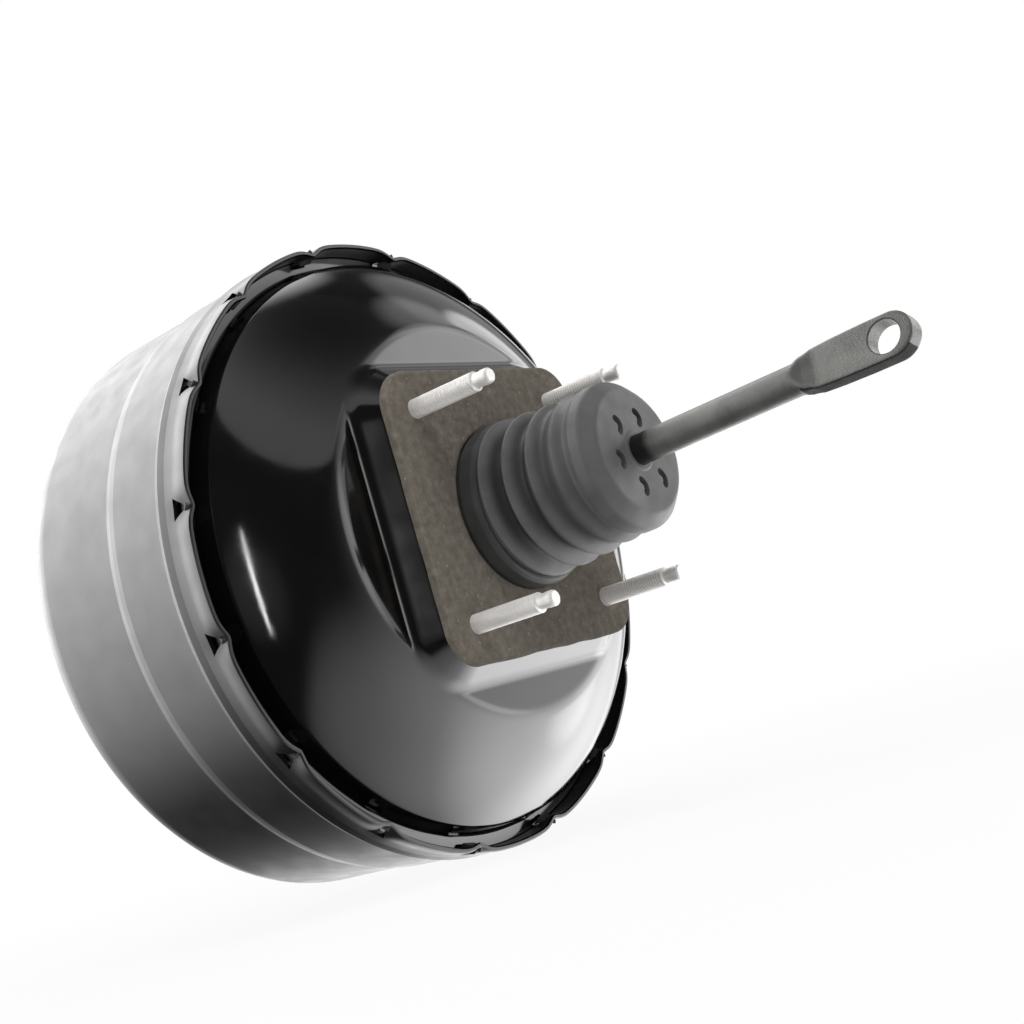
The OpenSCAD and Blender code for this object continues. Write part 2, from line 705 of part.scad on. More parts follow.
// Output side of the hub
rod_out_r = 6;
screw_r = 4;
rod_out_y = boss_y - 20;
retainer_rim = 6;
retainer_bend = 2;
module hub_retainer() {
    rim = cavity_r - fit;
    color([0.62, 0.62, 0.6]) turned(strip(rounded([[rod_out_r + fit, cavity_y],
        [rim, cavity_y, retainer_bend], [rim, cavity_y + retainer_rim]]), retainer_t));
}
module output_rod() {
    color([0.66, 0.66, 0.64]) difference() {
        turned([[0, head_y + press], [reaction_r, head_y + press], [reaction_r, cavity_y - slide],
            [rod_out_r, cavity_y - slide], [rod_out_r, rod_out_y - 1], [rod_out_r - 1, rod_out_y],
            [0, rod_out_y]], $fn = 64);
        bar(screw_r, rod_out_y - 20, rod_out_y + 1, $fn = 48);
    }
}
module output_screw() {
    hex_r = 5.8;
    tip = boss_y - 6;
    color([0.78, 0.78, 0.76]) union() {
        bar(screw_r - press, rod_out_y - 18, rod_out_y + 1, $fn = 48);
        bar(hex_r, rod_out_y + 0.5, rod_out_y + 5, $fn = 6);
        turned(concat([[0, rod_out_y + 4]], [[screw_r, rod_out_y + 4]],
            arc([0, tip - screw_r], screw_r, 0, 90, 6)), $fn = 48);
    }
}
module return_spring() {
    start = cavity_y + retainer_t + fit + spring_wire / 2;
    end = boss_y - sheet - plate_t - fit - spring_wire / 2;
    color([0.42, 0.42, 0.43]) along_y(start) coil(spring_r, spring_wire, spring_turns, end - start, 24, 8);
}

// Front shell: rim band with lanced locks, stepped drum, front face and boss
shell_path = rounded([[rim_r, rim_y], [rim_r + 0.4, ledge_y - 4, 3], [rim_r + flare, ledge_y - 0.5, 1.2],
    [drum_r, ledge_y + 3, 2], [drum_r - 0.5, step_y - 4, 4], [drum_r - 1, step_y - 1, 2],
    [drum_front_r, step_y + 2, 3], [drum_front_r - drum_taper * 0.5, front_y - drum_corner],
    [drum_front_r - drum_taper, front_y, drum_corner], [boss_r + 5, front_y, 4],
    [boss_r, boss_y, 2.5], [recess_r + sheet + press, boss_y]], 5);
lip_len = 2.2;
module at_mc_studs() {
    for (x = [-1, 1]) translate([x * mc_pitch / 2, 0, 0]) children();
}
module mc_stud_holes(y0, y1) {
    at_mc_studs() bar(mc_stud_d / 2 + shoulder + press, y0, y1, $fn = 48);
}
module lance_cut() {
    y0 = rim_y + lip_len + 0.3;
    along_y() rotate([90, 0, 90]) translate([0, 0, band_in - 2]) linear_extrude(sheet + 6)
        polygon([[0, y0], [-lance_w / 2, flange_y], [lance_w / 2, flange_y]]);
}
module lance_tab() {
    y0 = rim_y + lip_len + 0.3;
    run = flange_y - y0 - slide;
    pitch = atan(lance_in / run);
    translate([band_in, y0 - 0.15, 0]) rotate([0, 0, pitch]) along_y() rotate([90, 0, 90])
        linear_extrude(sheet) polygon([[0, -1], [-lance_w / 2 + fit, run], [lance_w / 2 - fit, run]]);
}
module at_lances() {
    for (k = [0:lance_count - 1]) rotate([0, 360 * (k + 0.5) / lance_count, 0]) children();
}
// Even polygon whose flats lie at radius r, one at each lock
module lock_polygon(r) {
    points = arc([0, 0], r / cos(180 / lance_count), 0, 360, lance_count);
    polygon([for (k = [0:lance_count - 1]) points[k]]);
}
module lip_ring() {
    outer = rim_r - lip_pull;
    along_y(rim_y) intersection() {
        linear_extrude(lip_len) difference() {
            lock_polygon(outer);
            lock_polygon(outer - sheet);
        }
        cylinder(r = rim_r + 1.2, h = lip_len);
    }
}
module front_shell() {
    inner = shifted(shell_path, sheet);
    band_y = rim_y + lip_len - 0.2;
    band = [for (p = shell_path) [p[0], max(p[1], band_y)]];
    lining = [for (p = inner) [min(p[0], band_in), max(p[1], band_y)]];
    color([0.05, 0.05, 0.055]) difference() {
        union() {
            difference() {
                turned(concat(band, reversed(lining)));
                at_lances() lance_cut();
            }
            lip_ring();
            at_lances() lance_tab();
        }
        mc_stud_holes(boss_y - 10, boss_y + 1);
        translate(check_pos) bar(grommet_r + press, -10, 1, $fn = 48);
    }
}

module front_reinforcement() {
    y1 = boss_y - sheet;
    color([0.62, 0.58, 0.42]) difference() {
        ring(recess_r + sheet + press, boss_r - 4, y1 - plate_t, y1);
        mc_stud_holes(y1 - 10, y1 + 1);
    }
}
// Drawn cup that takes the master cylinder's spigot and carries the front seal
cup_floor = boss_y - recess_depth;
module seal_cup() {
    color([0.6, 0.57, 0.42]) turned([[rod_out_r + 2, cup_floor - sheet],
        [recess_r + sheet, cup_floor - sheet], [recess_r + sheet, boss_y], [recess_r, boss_y],
        [recess_r, cup_floor], [rod_out_r + 2, cup_floor]]);
}
module front_seal() {
    color([0.05, 0.05, 0.05]) turned([[rod_out_r + slide, cup_floor + press],
        [recess_r - press, cup_floor + press], [recess_r - press, cup_floor + 2.5],
        [rod_out_r + 3, cup_floor + 2.5], [rod_out_r + slide, cup_floor + 1.5]]);
}
module front_seal_ring() {
    color([0.7, 0.7, 0.68]) ring(recess_r - 8, recess_r - press, cup_floor + 2.5 + press, cup_floor + 4);
}
module master_cylinder_studs() {
    head_y = boss_y - sheet - plate_t;
    head_r = mc_stud_d / 2 + 3;
    color([0.82, 0.82, 0.8]) at_mc_studs() turned([
        [0, head_y - 3], [head_r - 1, head_y - 3], [head_r, head_y - 2], [head_r, head_y],
        [mc_stud_d / 2 + shoulder, head_y], [mc_stud_d / 2 + shoulder, boss_y],
        [mc_stud_d / 2, boss_y], [mc_stud_d / 2, boss_y + mc_stud_reach - 1],
        [mc_stud_d / 2 - 1, boss_y + mc_stud_reach], [0, boss_y + mc_stud_reach]], $fn = 48);
}

// Vacuum check valve in its grommet, with a side nipple for the hose
cup_y = 6;
cup_len = 12;
disc_t = 2;
stem_len = 8;
stem_lead = 1.2;
stem_top = 4.2;
module valve_grommet() {
    lip = grommet_r + 2.5;
    color([0.07, 0.07, 0.07]) translate(check_pos) turned([[stem_r, -sheet - 3],
        [lip - 1, -sheet - 3], [lip, -sheet - press], [grommet_r, -sheet - press],
        [grommet_r, press], [lip, press], [lip, 3], [lip - 1, 4], [stem_r, 4]], $fn = 64);
}
module check_valve_body() {
    color([0.12, 0.12, 0.13]) translate(check_pos) difference() {
        union() {
            turned([[0, -stem_len], [stem_r - stem_lead, -stem_len],
                [stem_r - press, cup_wall - stem_len], [stem_r - press, stem_top],
                [cup_r, cup_y - 1], [cup_r, cup_y + cup_len], [0, cup_y + cup_len]], $fn = 64);
            translate([0, cup_y + cup_len / 2, 0]) rotate([0, 90, 0]) {
                cylinder(r = nipple_r, h = cup_r + nipple_len, $fn = 48);
                cylinder(r = hose_stop_r, h = cup_r + hose_stop_len, $fn = 48);
            }
        }
        bar(stem_bore_r, -stem_len - 1, cup_y + cup_wall, $fn = 48);
        bar(cup_r - cup_wall, cup_y + cup_wall, cup_y + cup_len + 1, $fn = 64);
        translate([0, cup_y + cup_len / 2, 0]) rotate([0, 90, 0])
            cylinder(r = nipple_r - cup_wall, h = cup_r + nipple_len + 1, $fn = 32);
    }
}
module check_valve_disc() {
    y0 = cup_y + cup_wall + press;
    color([0.06, 0.06, 0.06]) translate(check_pos) bar(cup_r - cup_wall - 1.5, y0, y0 + disc_t, $fn = 48);
}
module check_valve_spring() {
    wire = 0.8;
    start = cup_y + cup_wall + press + disc_t + fit + wire / 2;
    len = cup_y + cup_len - 1.5 - fit - wire / 2 - start;
    color([0.6, 0.6, 0.6]) translate(check_pos) along_y(start) coil(5.5, wire, 3, len, 16, 6);
}
module check_valve_cap() {
    y1 = cup_y + cup_len;
    color([0.1, 0.1, 0.11]) translate(check_pos) turned([[0, y1 - 1.5], [cup_r - cup_wall - press, y1 - 1.5],
        [cup_r - cup_wall - press, y1 + press], [cup_r, y1 + press], [cup_r, y1 + 1.5],
        [cup_r - 1, y1 + 2.5], [0, y1 + 2.5]], $fn = 64);
}

rear_shell();
gasket();
firewall_studs();
rear_reinforcement();
neck_bush();
neck_seal();
seal_retainer();
boot();
air_filter();
silencer();
input_rod();
input_rod_ball();
rod_spring();
poppet();
poppet_retainer();
poppet_spring();
plunger();
ratio_disc();
stop_key();
reaction_disc();
valve_body();
rear_plate();
rear_diaphragm();
divider_plate();
divider_bush();
divider_seal();
front_plate();
front_diaphragm();
plate_rings();
hub_retainer();
output_rod();
output_screw();
return_spring();
front_shell();
front_reinforcement();
seal_cup();
front_seal();
front_seal_ring();
master_cylinder_studs();
valve_grommet();
check_valve_body();
check_valve_disc();
check_valve_spring();
check_valve_cap();
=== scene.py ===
import math
import bpy
import bmesh
import numpy as np
from mathutils import Matrix, Vector


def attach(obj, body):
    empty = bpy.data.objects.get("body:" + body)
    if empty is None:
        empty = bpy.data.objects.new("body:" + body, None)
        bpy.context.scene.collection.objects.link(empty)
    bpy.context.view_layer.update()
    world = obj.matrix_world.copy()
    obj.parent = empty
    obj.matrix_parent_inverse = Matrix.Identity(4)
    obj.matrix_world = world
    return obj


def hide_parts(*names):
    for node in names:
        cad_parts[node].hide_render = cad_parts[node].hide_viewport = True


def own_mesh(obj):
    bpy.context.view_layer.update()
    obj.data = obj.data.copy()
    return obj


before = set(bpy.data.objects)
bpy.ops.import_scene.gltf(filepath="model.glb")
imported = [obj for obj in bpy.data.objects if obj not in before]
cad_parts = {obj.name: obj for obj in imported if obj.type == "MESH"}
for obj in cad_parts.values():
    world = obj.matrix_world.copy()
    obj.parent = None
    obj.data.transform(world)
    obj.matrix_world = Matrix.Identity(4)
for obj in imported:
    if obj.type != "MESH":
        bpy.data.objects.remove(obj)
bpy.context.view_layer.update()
MM = 0.001
TAU = 2 * math.pi

# Sizes in millimetres, the same as in the part's source. A station is a distance along Y.
RIM_R, RIM_Y, SHEET = 130.0, 44.5, 2.0
FLANGE_Y, LEDGE_Y, STEP_Y, FRONT_Y, BOSS_Y = 53.0, 61.0, 93.7, 150.0, 156.0
FLAT_R, FLAT_Y, DOME_R, DOME_TURN = 82.0, 14.0, 121.0, 16.0
PLATFORM_W, DRAFT = 112.0, 0.9
GASKET_W, GASKET_T = 117.5, 4.0
LANCES, LANCE_W, LANCE_IN = 16, 9.0, 3.0
STUD_PITCH, STUD_REACH, MC_PITCH, MC_REACH = 86.0, 39.0, 86.0, 25.0
BALL_Y, ROD_TILT, ROD_TURN, ROD_LEN = 15.0, 2.0, 18.0, 188.7
TUBE_R, BOOT_END, CAP_R, BOOT_WALL = 28.0, 79.0, 30.0, 2.0

# The scene's own sizes, fitted to the photograph
PLATFORM_CORNER, GASKET_HOLE = 15.0, 33.6
FOLD_START, FOLD_FOOT, FOLD_PITCH, FOLD_CREST, SEAM = 26.0, 22.0, 11.6, 33.0, 67.5


# Meshes
def finish_mesh(name, bm, material, body, replaces=(), slot=None, sharp=32):
    bmesh.ops.remove_doubles(bm, verts=bm.verts, dist=2e-7)
    bmesh.ops.recalc_face_normals(bm, faces=bm.faces)
    mesh = bpy.data.meshes.new(name)
    bm.to_mesh(mesh)
    bm.free()
    for p in mesh.polygons:
        p.use_smooth = True
    mesh.set_sharp_from_angle(angle=math.radians(sharp))
    mesh.materials.append(material)
    obj = bpy.data.objects.new(name, mesh)
    bpy.context.scene.collection.objects.link(obj)
    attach(obj, body)
    if replaces:
        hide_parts(*replaces)
    return obj


def add_rings(bm, rings, closed=True):
    """Quads between rings of equal length; rings is an array (ring, point, 3) in millimetres."""
    rings = np.asarray(rings, float)
    verts = [[bm.verts.new(Vector(p) * MM) for p in ring] for ring in rings]
    count, n = len(rings), len(rings[0])
    for i in range(count if closed else count - 1):
        a, b = verts[i], verts[(i + 1) % count]
        for j in range(n):
            k = (j + 1) % n
            bm.faces.new((a[j], a[k], b[k], b[j]))
    if not closed:
        bm.faces.new(verts[0])
        bm.faces.new(verts[-1])
    return verts


def rounded(points, n=6):
    """Outline with corners rounded; each point is (x, y) or (x, y, radius)."""
    out = []
    for i, p in enumerate(points):
        if i in (0, len(points) - 1) or len(p) < 3 or p[2] <= 0:
            out.append(np.array(p[:2], float))
            continue
        b = np.array(p[:2], float)
        u = np.array(points[i - 1][:2], float) - b
        v = np.array(points[i + 1][:2], float) - b
        u, v = u / np.linalg.norm(u), v / np.linalg.norm(v)
        half = math.acos(max(-1, min(1, float(u @ v)))) / 2
        m = u + v
        o = b + m / np.linalg.norm(m) * p[2] / math.sin(half)
        s = b + u * p[2] / math.tan(half) - o
        e = b + v * p[2] / math.tan(half) - o
        a0, a1 = math.atan2(s[1], s[0]), math.atan2(e[1], e[0])
        turn = (a1 - a0 + math.pi) % TAU - math.pi
        for t in np.linspace(0, 1, n + 1):
            a = a0 + turn * t
            out.append(o + p[2] * np.array([math.cos(a), math.sin(a)]))
    return np.array(out)


def refine(path, step):
    """Adds points so that no segment of an outline is longer than step."""
    out = [path[0]]
    for a, b in zip(path[:-1], path[1:]):
        n = max(1, int(math.ceil(np.linalg.norm(b - a) / step)))
        out += [a + (b - a) * k / n for k in range(1, n + 1)]
    return np.array(out)


def shifted(path, d):
    """An open outline moved by d to its left."""
    seg = path[1:] - path[:-1]
    seg = seg / np.linalg.norm(seg, axis=1)[:, None]
    a = np.vstack([seg[:1], seg])
    b = np.vstack([seg, seg[-1:]])
    m = a + b
    m /= np.linalg.norm(m, axis=1)[:, None]
    n = np.stack([-m[:, 1], m[:, 0]], 1)
    return path + d * n / (m * a).sum(1)[:, None]


def bowed(a, b, half, n):
    """An arc from a to b that turns by half, in degrees, to each side of its middle."""
    a, b = np.array(a, float), np.array(b, float)
    d = b - a
    h = math.radians(half)
    r = np.linalg.norm(d) / (2 * math.sin(h))
    c = (a + b) / 2 + np.array([-d[1], d[0]]) / np.linalg.norm(d) * r * math.cos(h)
    s = a - c
    a0 = math.atan2(s[1], s[0])
    return [c + r * np.array([math.cos(a0 + 2 * h * t), math.sin(a0 + 2 * h * t)])
            for t in np.linspace(0, 1, n + 1)]


def spun(profile, n):
    """Rings about the Y axis from points (radius, station)."""
    t = np.arange(n) * TAU / n
    return [np.stack([r * np.cos(t), np.full(n, y), r * np.sin(t)], 1) for r, y in profile]


def turned_piece(name, profile, n, material, body, **kw):
    bm = bmesh.new()
    add_rings(bm, spun(profile, n))
    return finish_mesh(name, bm, material, body, **kw)


def rod_matrix(turn=0.0):
    """The pushrod's own frame: Z from the ball to the eye."""
    m = Matrix.Translation((0, BALL_Y * MM, 0))
    m = m @ Matrix.Rotation(math.radians(90 - ROD_TILT), 4, "X")
    return m @ Matrix.Rotation(math.radians(-turn), 4, "Z")


def square_radius(t, w, c):
    """Distance from the centre to a rounded square of half-width w and corner radius c."""
    c_t, s_t = abs(np.cos(t)), abs(np.sin(t))
    u, v = np.maximum(c_t, s_t), np.minimum(c_t, s_t)
    side = w / u
    k = w - c
    dot = (u + v) * k
    corner = dot + np.sqrt(np.maximum(dot ** 2 - 2 * k * k + c * c, 0))
    return np.where(side * v <= k, side, corner)


# Materials
def new_material(name):
    m = bpy.data.materials.new(name)
    m.use_nodes = True
    tree = m.node_tree
    return m, tree, tree.nodes["Principled BSDF"]


def object_coord(tree):
    return tree.nodes.new("ShaderNodeTexCoord").outputs["Object"]


def object_noise(tree, scale, detail=3.0, rough=0.5, stretch=None):
    source = object_coord(tree)
    if stretch:
        mapping = tree.nodes.new("ShaderNodeMapping")
        mapping.inputs["Scale"].default_value = stretch
        tree.links.new(source, mapping.inputs["Vector"])
        source = mapping.outputs["Vector"]
    noise = tree.nodes.new("ShaderNodeTexNoise")
    noise.inputs["Scale"].default_value = scale
    noise.inputs["Detail"].default_value = detail
    noise.inputs["Roughness"].default_value = rough
    tree.links.new(source, noise.inputs["Vector"])
    return noise.outputs["Fac"]


def ramp(tree, fac, stops):
    node = tree.nodes.new("ShaderNodeValToRGB")
    el = node.color_ramp.elements
    while len(el) < len(stops):
        el.new(0.5)
    for e, (pos, col) in zip(el, stops):
        e.position = pos
        e.color = (*col, 1) if hasattr(col, "__len__") else (col, col, col, 1)
    tree.links.new(fac, node.inputs["Fac"])
    return node.outputs["Color"]


def bump(tree, height, strength, distance, normal=None):
    node = tree.nodes.new("ShaderNodeBump")
    node.inputs["Strength"].default_value = strength
    node.inputs["Distance"].default_value = distance
    tree.links.new(height, node.inputs["Height"])
    if normal:
        tree.links.new(normal, node.inputs["Normal"])
    return node.outputs["Normal"]


def vector_math(tree, op, vector, fixed=None):
    """A vector operation on a socket, with a fixed second vector where it takes one."""
    node = tree.nodes.new("ShaderNodeVectorMath")
    node.operation = op
    tree.links.new(vector, node.inputs[0])
    if fixed is not None:
        node.inputs[1].default_value = fixed
    return node.outputs["Value" if op in ("LENGTH", "DOT_PRODUCT") else "Vector"]


def map_range(tree, value, source, target=(0.0, 1.0), kind="SMOOTHSTEP"):
    """Maps a value from one range to another, clamped at both ends."""
    node = tree.nodes.new("ShaderNodeMapRange")
    node.interpolation_type = kind
    for name, number in zip(("From Min", "From Max", "To Min", "To Max"), (*source, *target)):
        node.inputs[name].default_value = number
    tree.links.new(value, node.inputs["Value"])
    return node.outputs["Result"]


def mixed_colour(tree, factor, first, second):
    """The first colour where factor is 0 and the second where it is 1; each a socket or a tuple."""
    mix = tree.nodes.new("ShaderNodeMix")
    mix.data_type = "RGBA"
    tree.links.new(factor, mix.inputs["Factor"])
    for name, colour in (("A", first), ("B", second)):
        if isinstance(colour, tuple):
            mix.inputs[name].default_value = colour
        else:
            tree.links.new(colour, mix.inputs[name])
    return mix.outputs["Result"]


def surface(name, dark, light, rough, metallic=0.0, scale=90.0, grain=900.0,
            grain_strength=0.15, grain_depth=0.0002, stretch=None, specular=0.5):
    """A base colour that varies between two shades, a roughness that varies, and fine grain."""
    m, tree, b = new_material(name)
    fac = object_noise(tree, scale, 4.0, 0.6, stretch)
    tree.links.new(ramp(tree, fac, [(0.35, dark), (0.65, light)]), b.inputs["Base Color"])
    worn = object_noise(tree, scale * 2.3, 3.0, 0.5, stretch)
    tree.links.new(ramp(tree, worn, [(0.3, rough[0]), (0.7, rough[1])]), b.inputs["Roughness"])
    fine = object_noise(tree, grain, 2.0, 0.5, stretch)
    tree.links.new(bump(tree, fine, grain_strength, grain_depth), b.inputs["Normal"])
    b.inputs["Metallic"].default_value = metallic
    b.inputs["Specular IOR Level"].default_value = specular
    return m


def foam_material():
    """Grey-brown foam with a few pale specks and open pores."""
    m, tree, b = new_material("gasket_foam")
    fac = object_noise(tree, 260.0, 5.0, 0.65)
    base = ramp(tree, fac, [(0.3, (0.14, 0.123, 0.1)), (0.52, (0.2, 0.178, 0.148)),
                            (0.75, (0.275, 0.248, 0.21))])
    cells = tree.nodes.new("ShaderNodeTexVoronoi")
    cells.inputs["Scale"].default_value = 420.0
    tree.links.new(object_coord(tree), cells.inputs["Vector"])
    picked = object_noise(tree, 330.0, 1.0, 0.4)
    specks = ramp(tree, cells.outputs["Distance"], [(0.1, 1.0), (0.24, 0.0)])
    chosen = ramp(tree, picked, [(0.58, 0.0), (0.66, 1.0)])
    both = tree.nodes.new("ShaderNodeMath")
    both.operation = "MULTIPLY"
    tree.links.new(specks, both.inputs[0])
    tree.links.new(chosen, both.inputs[1])
    speckled = mixed_colour(tree, both.outputs[0], base, (0.42, 0.36, 0.28, 1))
    tree.links.new(speckled, b.inputs["Base Color"])
    b.inputs["Roughness"].default_value = 0.95
    b.inputs["Specular IOR Level"].default_value = 0.2
    pores = bump(tree, cells.outputs["Distance"], 0.5, 0.0004)
    tree.links.new(bump(tree, fac, 0.5, 0.0008, pores), b.inputs["Normal"])
    return m


def painted_shade(m, factor, shade):
    """Paints shade: turns a surface's base colour to a dark grey where factor is 0."""
    tree = m.node_tree
    base = tree.nodes["Principled BSDF"].inputs["Base Color"]
    colour = base.links[0].from_socket
    tree.links.new(mixed_colour(tree, factor, (shade, shade, shade, 1), colour), base)
    return m


def rod_axis():
    """The pushrod's direction, from the ball to the eye."""
    return rod_matrix().to_3x3() @ Vector((0, 0, 1))


def fold_material():
    """The boot's rubber, with painted shade that makes it darker in its grooves than on its crests.
    """
    m = surface("boot_fold_rubber_groove_shade", 0.095, 0.125, (0.5, 0.62), **RUBBER_GRAIN, specular=0.4)
    tree = m.node_tree
    from_ball = vector_math(tree, "SUBTRACT", object_coord(tree), Vector((0, BALL_Y * MM, 0)))
    across = vector_math(tree, "CROSS_PRODUCT", from_ball, rod_axis())
    radius = vector_math(tree, "LENGTH", across)
    return painted_shade(m, map_range(tree, radius, GROOVE_SHADE), 0.03)


def rod_material():
    """Dull steel, with painted shade beside the boot."""
    m = surface("rod_steel", (0.075, 0.075, 0.07), (0.125, 0.124, 0.116), (0.4, 0.5),
                metallic=0.1, scale=70, grain=1100, grain_strength=0.3, grain_depth=0.0003,
                specular=0.45)
    tree = m.node_tree
    along = vector_math(tree, "DOT_PRODUCT", object_coord(tree), rod_axis())
    # Painted shade: the rod is darkened up to a few millimetres beyond the boot's cap
    start = BOOT_END + rod_axis().y * BALL_Y
    near = map_range(tree, along, ((start + 6) * MM, (start + 9.5) * MM), kind="LINEAR")
    return painted_shade(m, near, 0.012)


RUBBER_GRAIN = {"scale": 70, "grain": 1600, "grain_strength": 0.25}
# Radii from the pushrod's axis, in metres, over which the painted shade in the grooves fades out
GROOVE_SHADE = (0.0272, 0.0314)

GLOSS = surface("gloss_black", 0.003, 0.005, (0.07, 0.13), scale=30, grain=500,
                grain_strength=0.02, specular=0.55)
SATIN = surface("satin_black", 0.004, 0.007, (0.34, 0.42), scale=40, grain=1400,
                grain_strength=0.06)
# A lighter copy of the satin black for the locks' tongues: painted light that lifts them out of the
# shade in the openings
LIT_TAB_BLACK = surface("satin_black_painted_light", 0.05, 0.09, (0.3, 0.4), scale=60, grain=900,
               grain_strength=0.1)
FOAM = foam_material()
ZINC = surface("bright_zinc", (0.78, 0.76, 0.74), (0.93, 0.91, 0.88), (0.48, 0.6), metallic=0.35,
               scale=260, grain=1500, grain_strength=0.2, stretch=(1, 0.12, 1))
YELLOW = surface("yellow_zinc", (0.50, 0.42, 0.22), (0.66, 0.6, 0.42), (0.28, 0.42), metallic=1.0,
                 scale=45, grain=1200, grain_strength=0.1)
RUBBER = surface("boot_rubber", 0.095, 0.125, (0.5, 0.62), **RUBBER_GRAIN, specular=0.4)
# A darker copy of the boot's rubber for the base ring: painted shade where the ring sits in shadow
# by the gasket
SHADED_RING_RUBBER = surface("boot_ring_painted_shade", 0.04, 0.055, (0.5, 0.62), **RUBBER_GRAIN, specular=0.3)
SEAL = surface("seal_rubber", 0.014, 0.024, (0.42, 0.55), scale=80, grain=1500,
               grain_strength=0.15)
SHADED_FOLDS = fold_material()
ROD = rod_material()
# A dark surface for the forged end's narrow sides: painted shade
SHADED_ROD_SIDE = surface("rod_side_painted_shade", 0.014, 0.024, (0.6, 0.72), scale=90, grain=1100, grain_strength=0.3,
                specular=0.15)
MACHINED = surface("machined_steel", (0.42, 0.42, 0.41), (0.58, 0.58, 0.57), (0.2, 0.32),
                   metallic=1.0, scale=90, grain=1500, grain_strength=0.1, stretch=(1, 6, 1))
SPRING = surface("spring_steel", (0.2, 0.2, 0.205), (0.32, 0.32, 0.33), (0.3, 0.42), metallic=1.0,
                 scale=120, grain=1500, grain_strength=0.1)
PHENOLIC = surface("phenolic", (0.055, 0.042, 0.03), (0.1, 0.078, 0.056), (0.42, 0.56), scale=150,
                   grain=1300, grain_strength=0.2)
NYLON = surface("nylon", (0.62, 0.6, 0.52), (0.74, 0.72, 0.64), (0.4, 0.5), scale=60, grain=1000,
                grain_strength=0.1)
BLACK_NYLON = surface("black_nylon", 0.022, 0.034, (0.3, 0.4), scale=90, grain=1300,
                      grain_strength=0.15)
FILTER = surface("filter_foam", 0.03, 0.09, (0.85, 0.95), scale=700, grain=900,
                 grain_strength=0.8, grain_depth=0.001)
FELT = surface("felt", (0.3, 0.27, 0.21), (0.46, 0.42, 0.34), (0.9, 0.98), scale=500, grain=1100,
               grain_strength=0.8, grain_depth=0.0008)

# The pieces that keep the CAD's own mesh, by their look
CAD_LOOKS = {
    YELLOW: "rear_reinforcement front_reinforcement divider_plate rear_plate front_plate seal_cup "
            "poppet_retainer hub_retainer",
    ZINC: "seal_retainer front_seal_ring output_screw stop_key",
    SEAL: "neck_seal poppet reaction_disc rear_diaphragm front_diaphragm divider_seal front_seal "
          "valve_grommet check_valve_disc",
    MACHINED: "input_rod_ball plunger ratio_disc output_rod",
    SPRING: "rod_spring poppet_spring return_spring check_valve_spring plate_rings",
    PHENOLIC: "valve_body",
    NYLON: "neck_bush divider_bush",
    BLACK_NYLON: "check_valve_body check_valve_cap",
    FILTER: "air_filter",
    FELT: "silencer",
}
for look, names in CAD_LOOKS.items():
    for node in names.split():
        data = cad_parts[node].data
        data.materials.clear()
        data.materials.append(look)


# Rear shell: neck tube, square platform with drafted walls, flat circle, dome and clamped flange
def smooth_min(a, b, k):
    """The smaller of two heights, rounded over where they come within k of each other."""
    h = np.clip(0.5 + 0.5 * (b - a) / k, 0, 1)
    return b + (a - b) * h - k * h * (1 - h)


# How softly the platform's edge and its foot are rounded. The mesh follows squares that are
# offset from the platform's outline up to WALL_OUT, and circles from FIRST_CIRCLE on; the foot
# reaches no further than LAST_FOOT.
EDGE_BLEND, FOOT_BLEND = 1.6, 2.6
WALL_IN, WALL_OUT, OFFSET_MAX = -9, 12, 42
FIRST_CIRCLE, LAST_FOOT = 86, 98


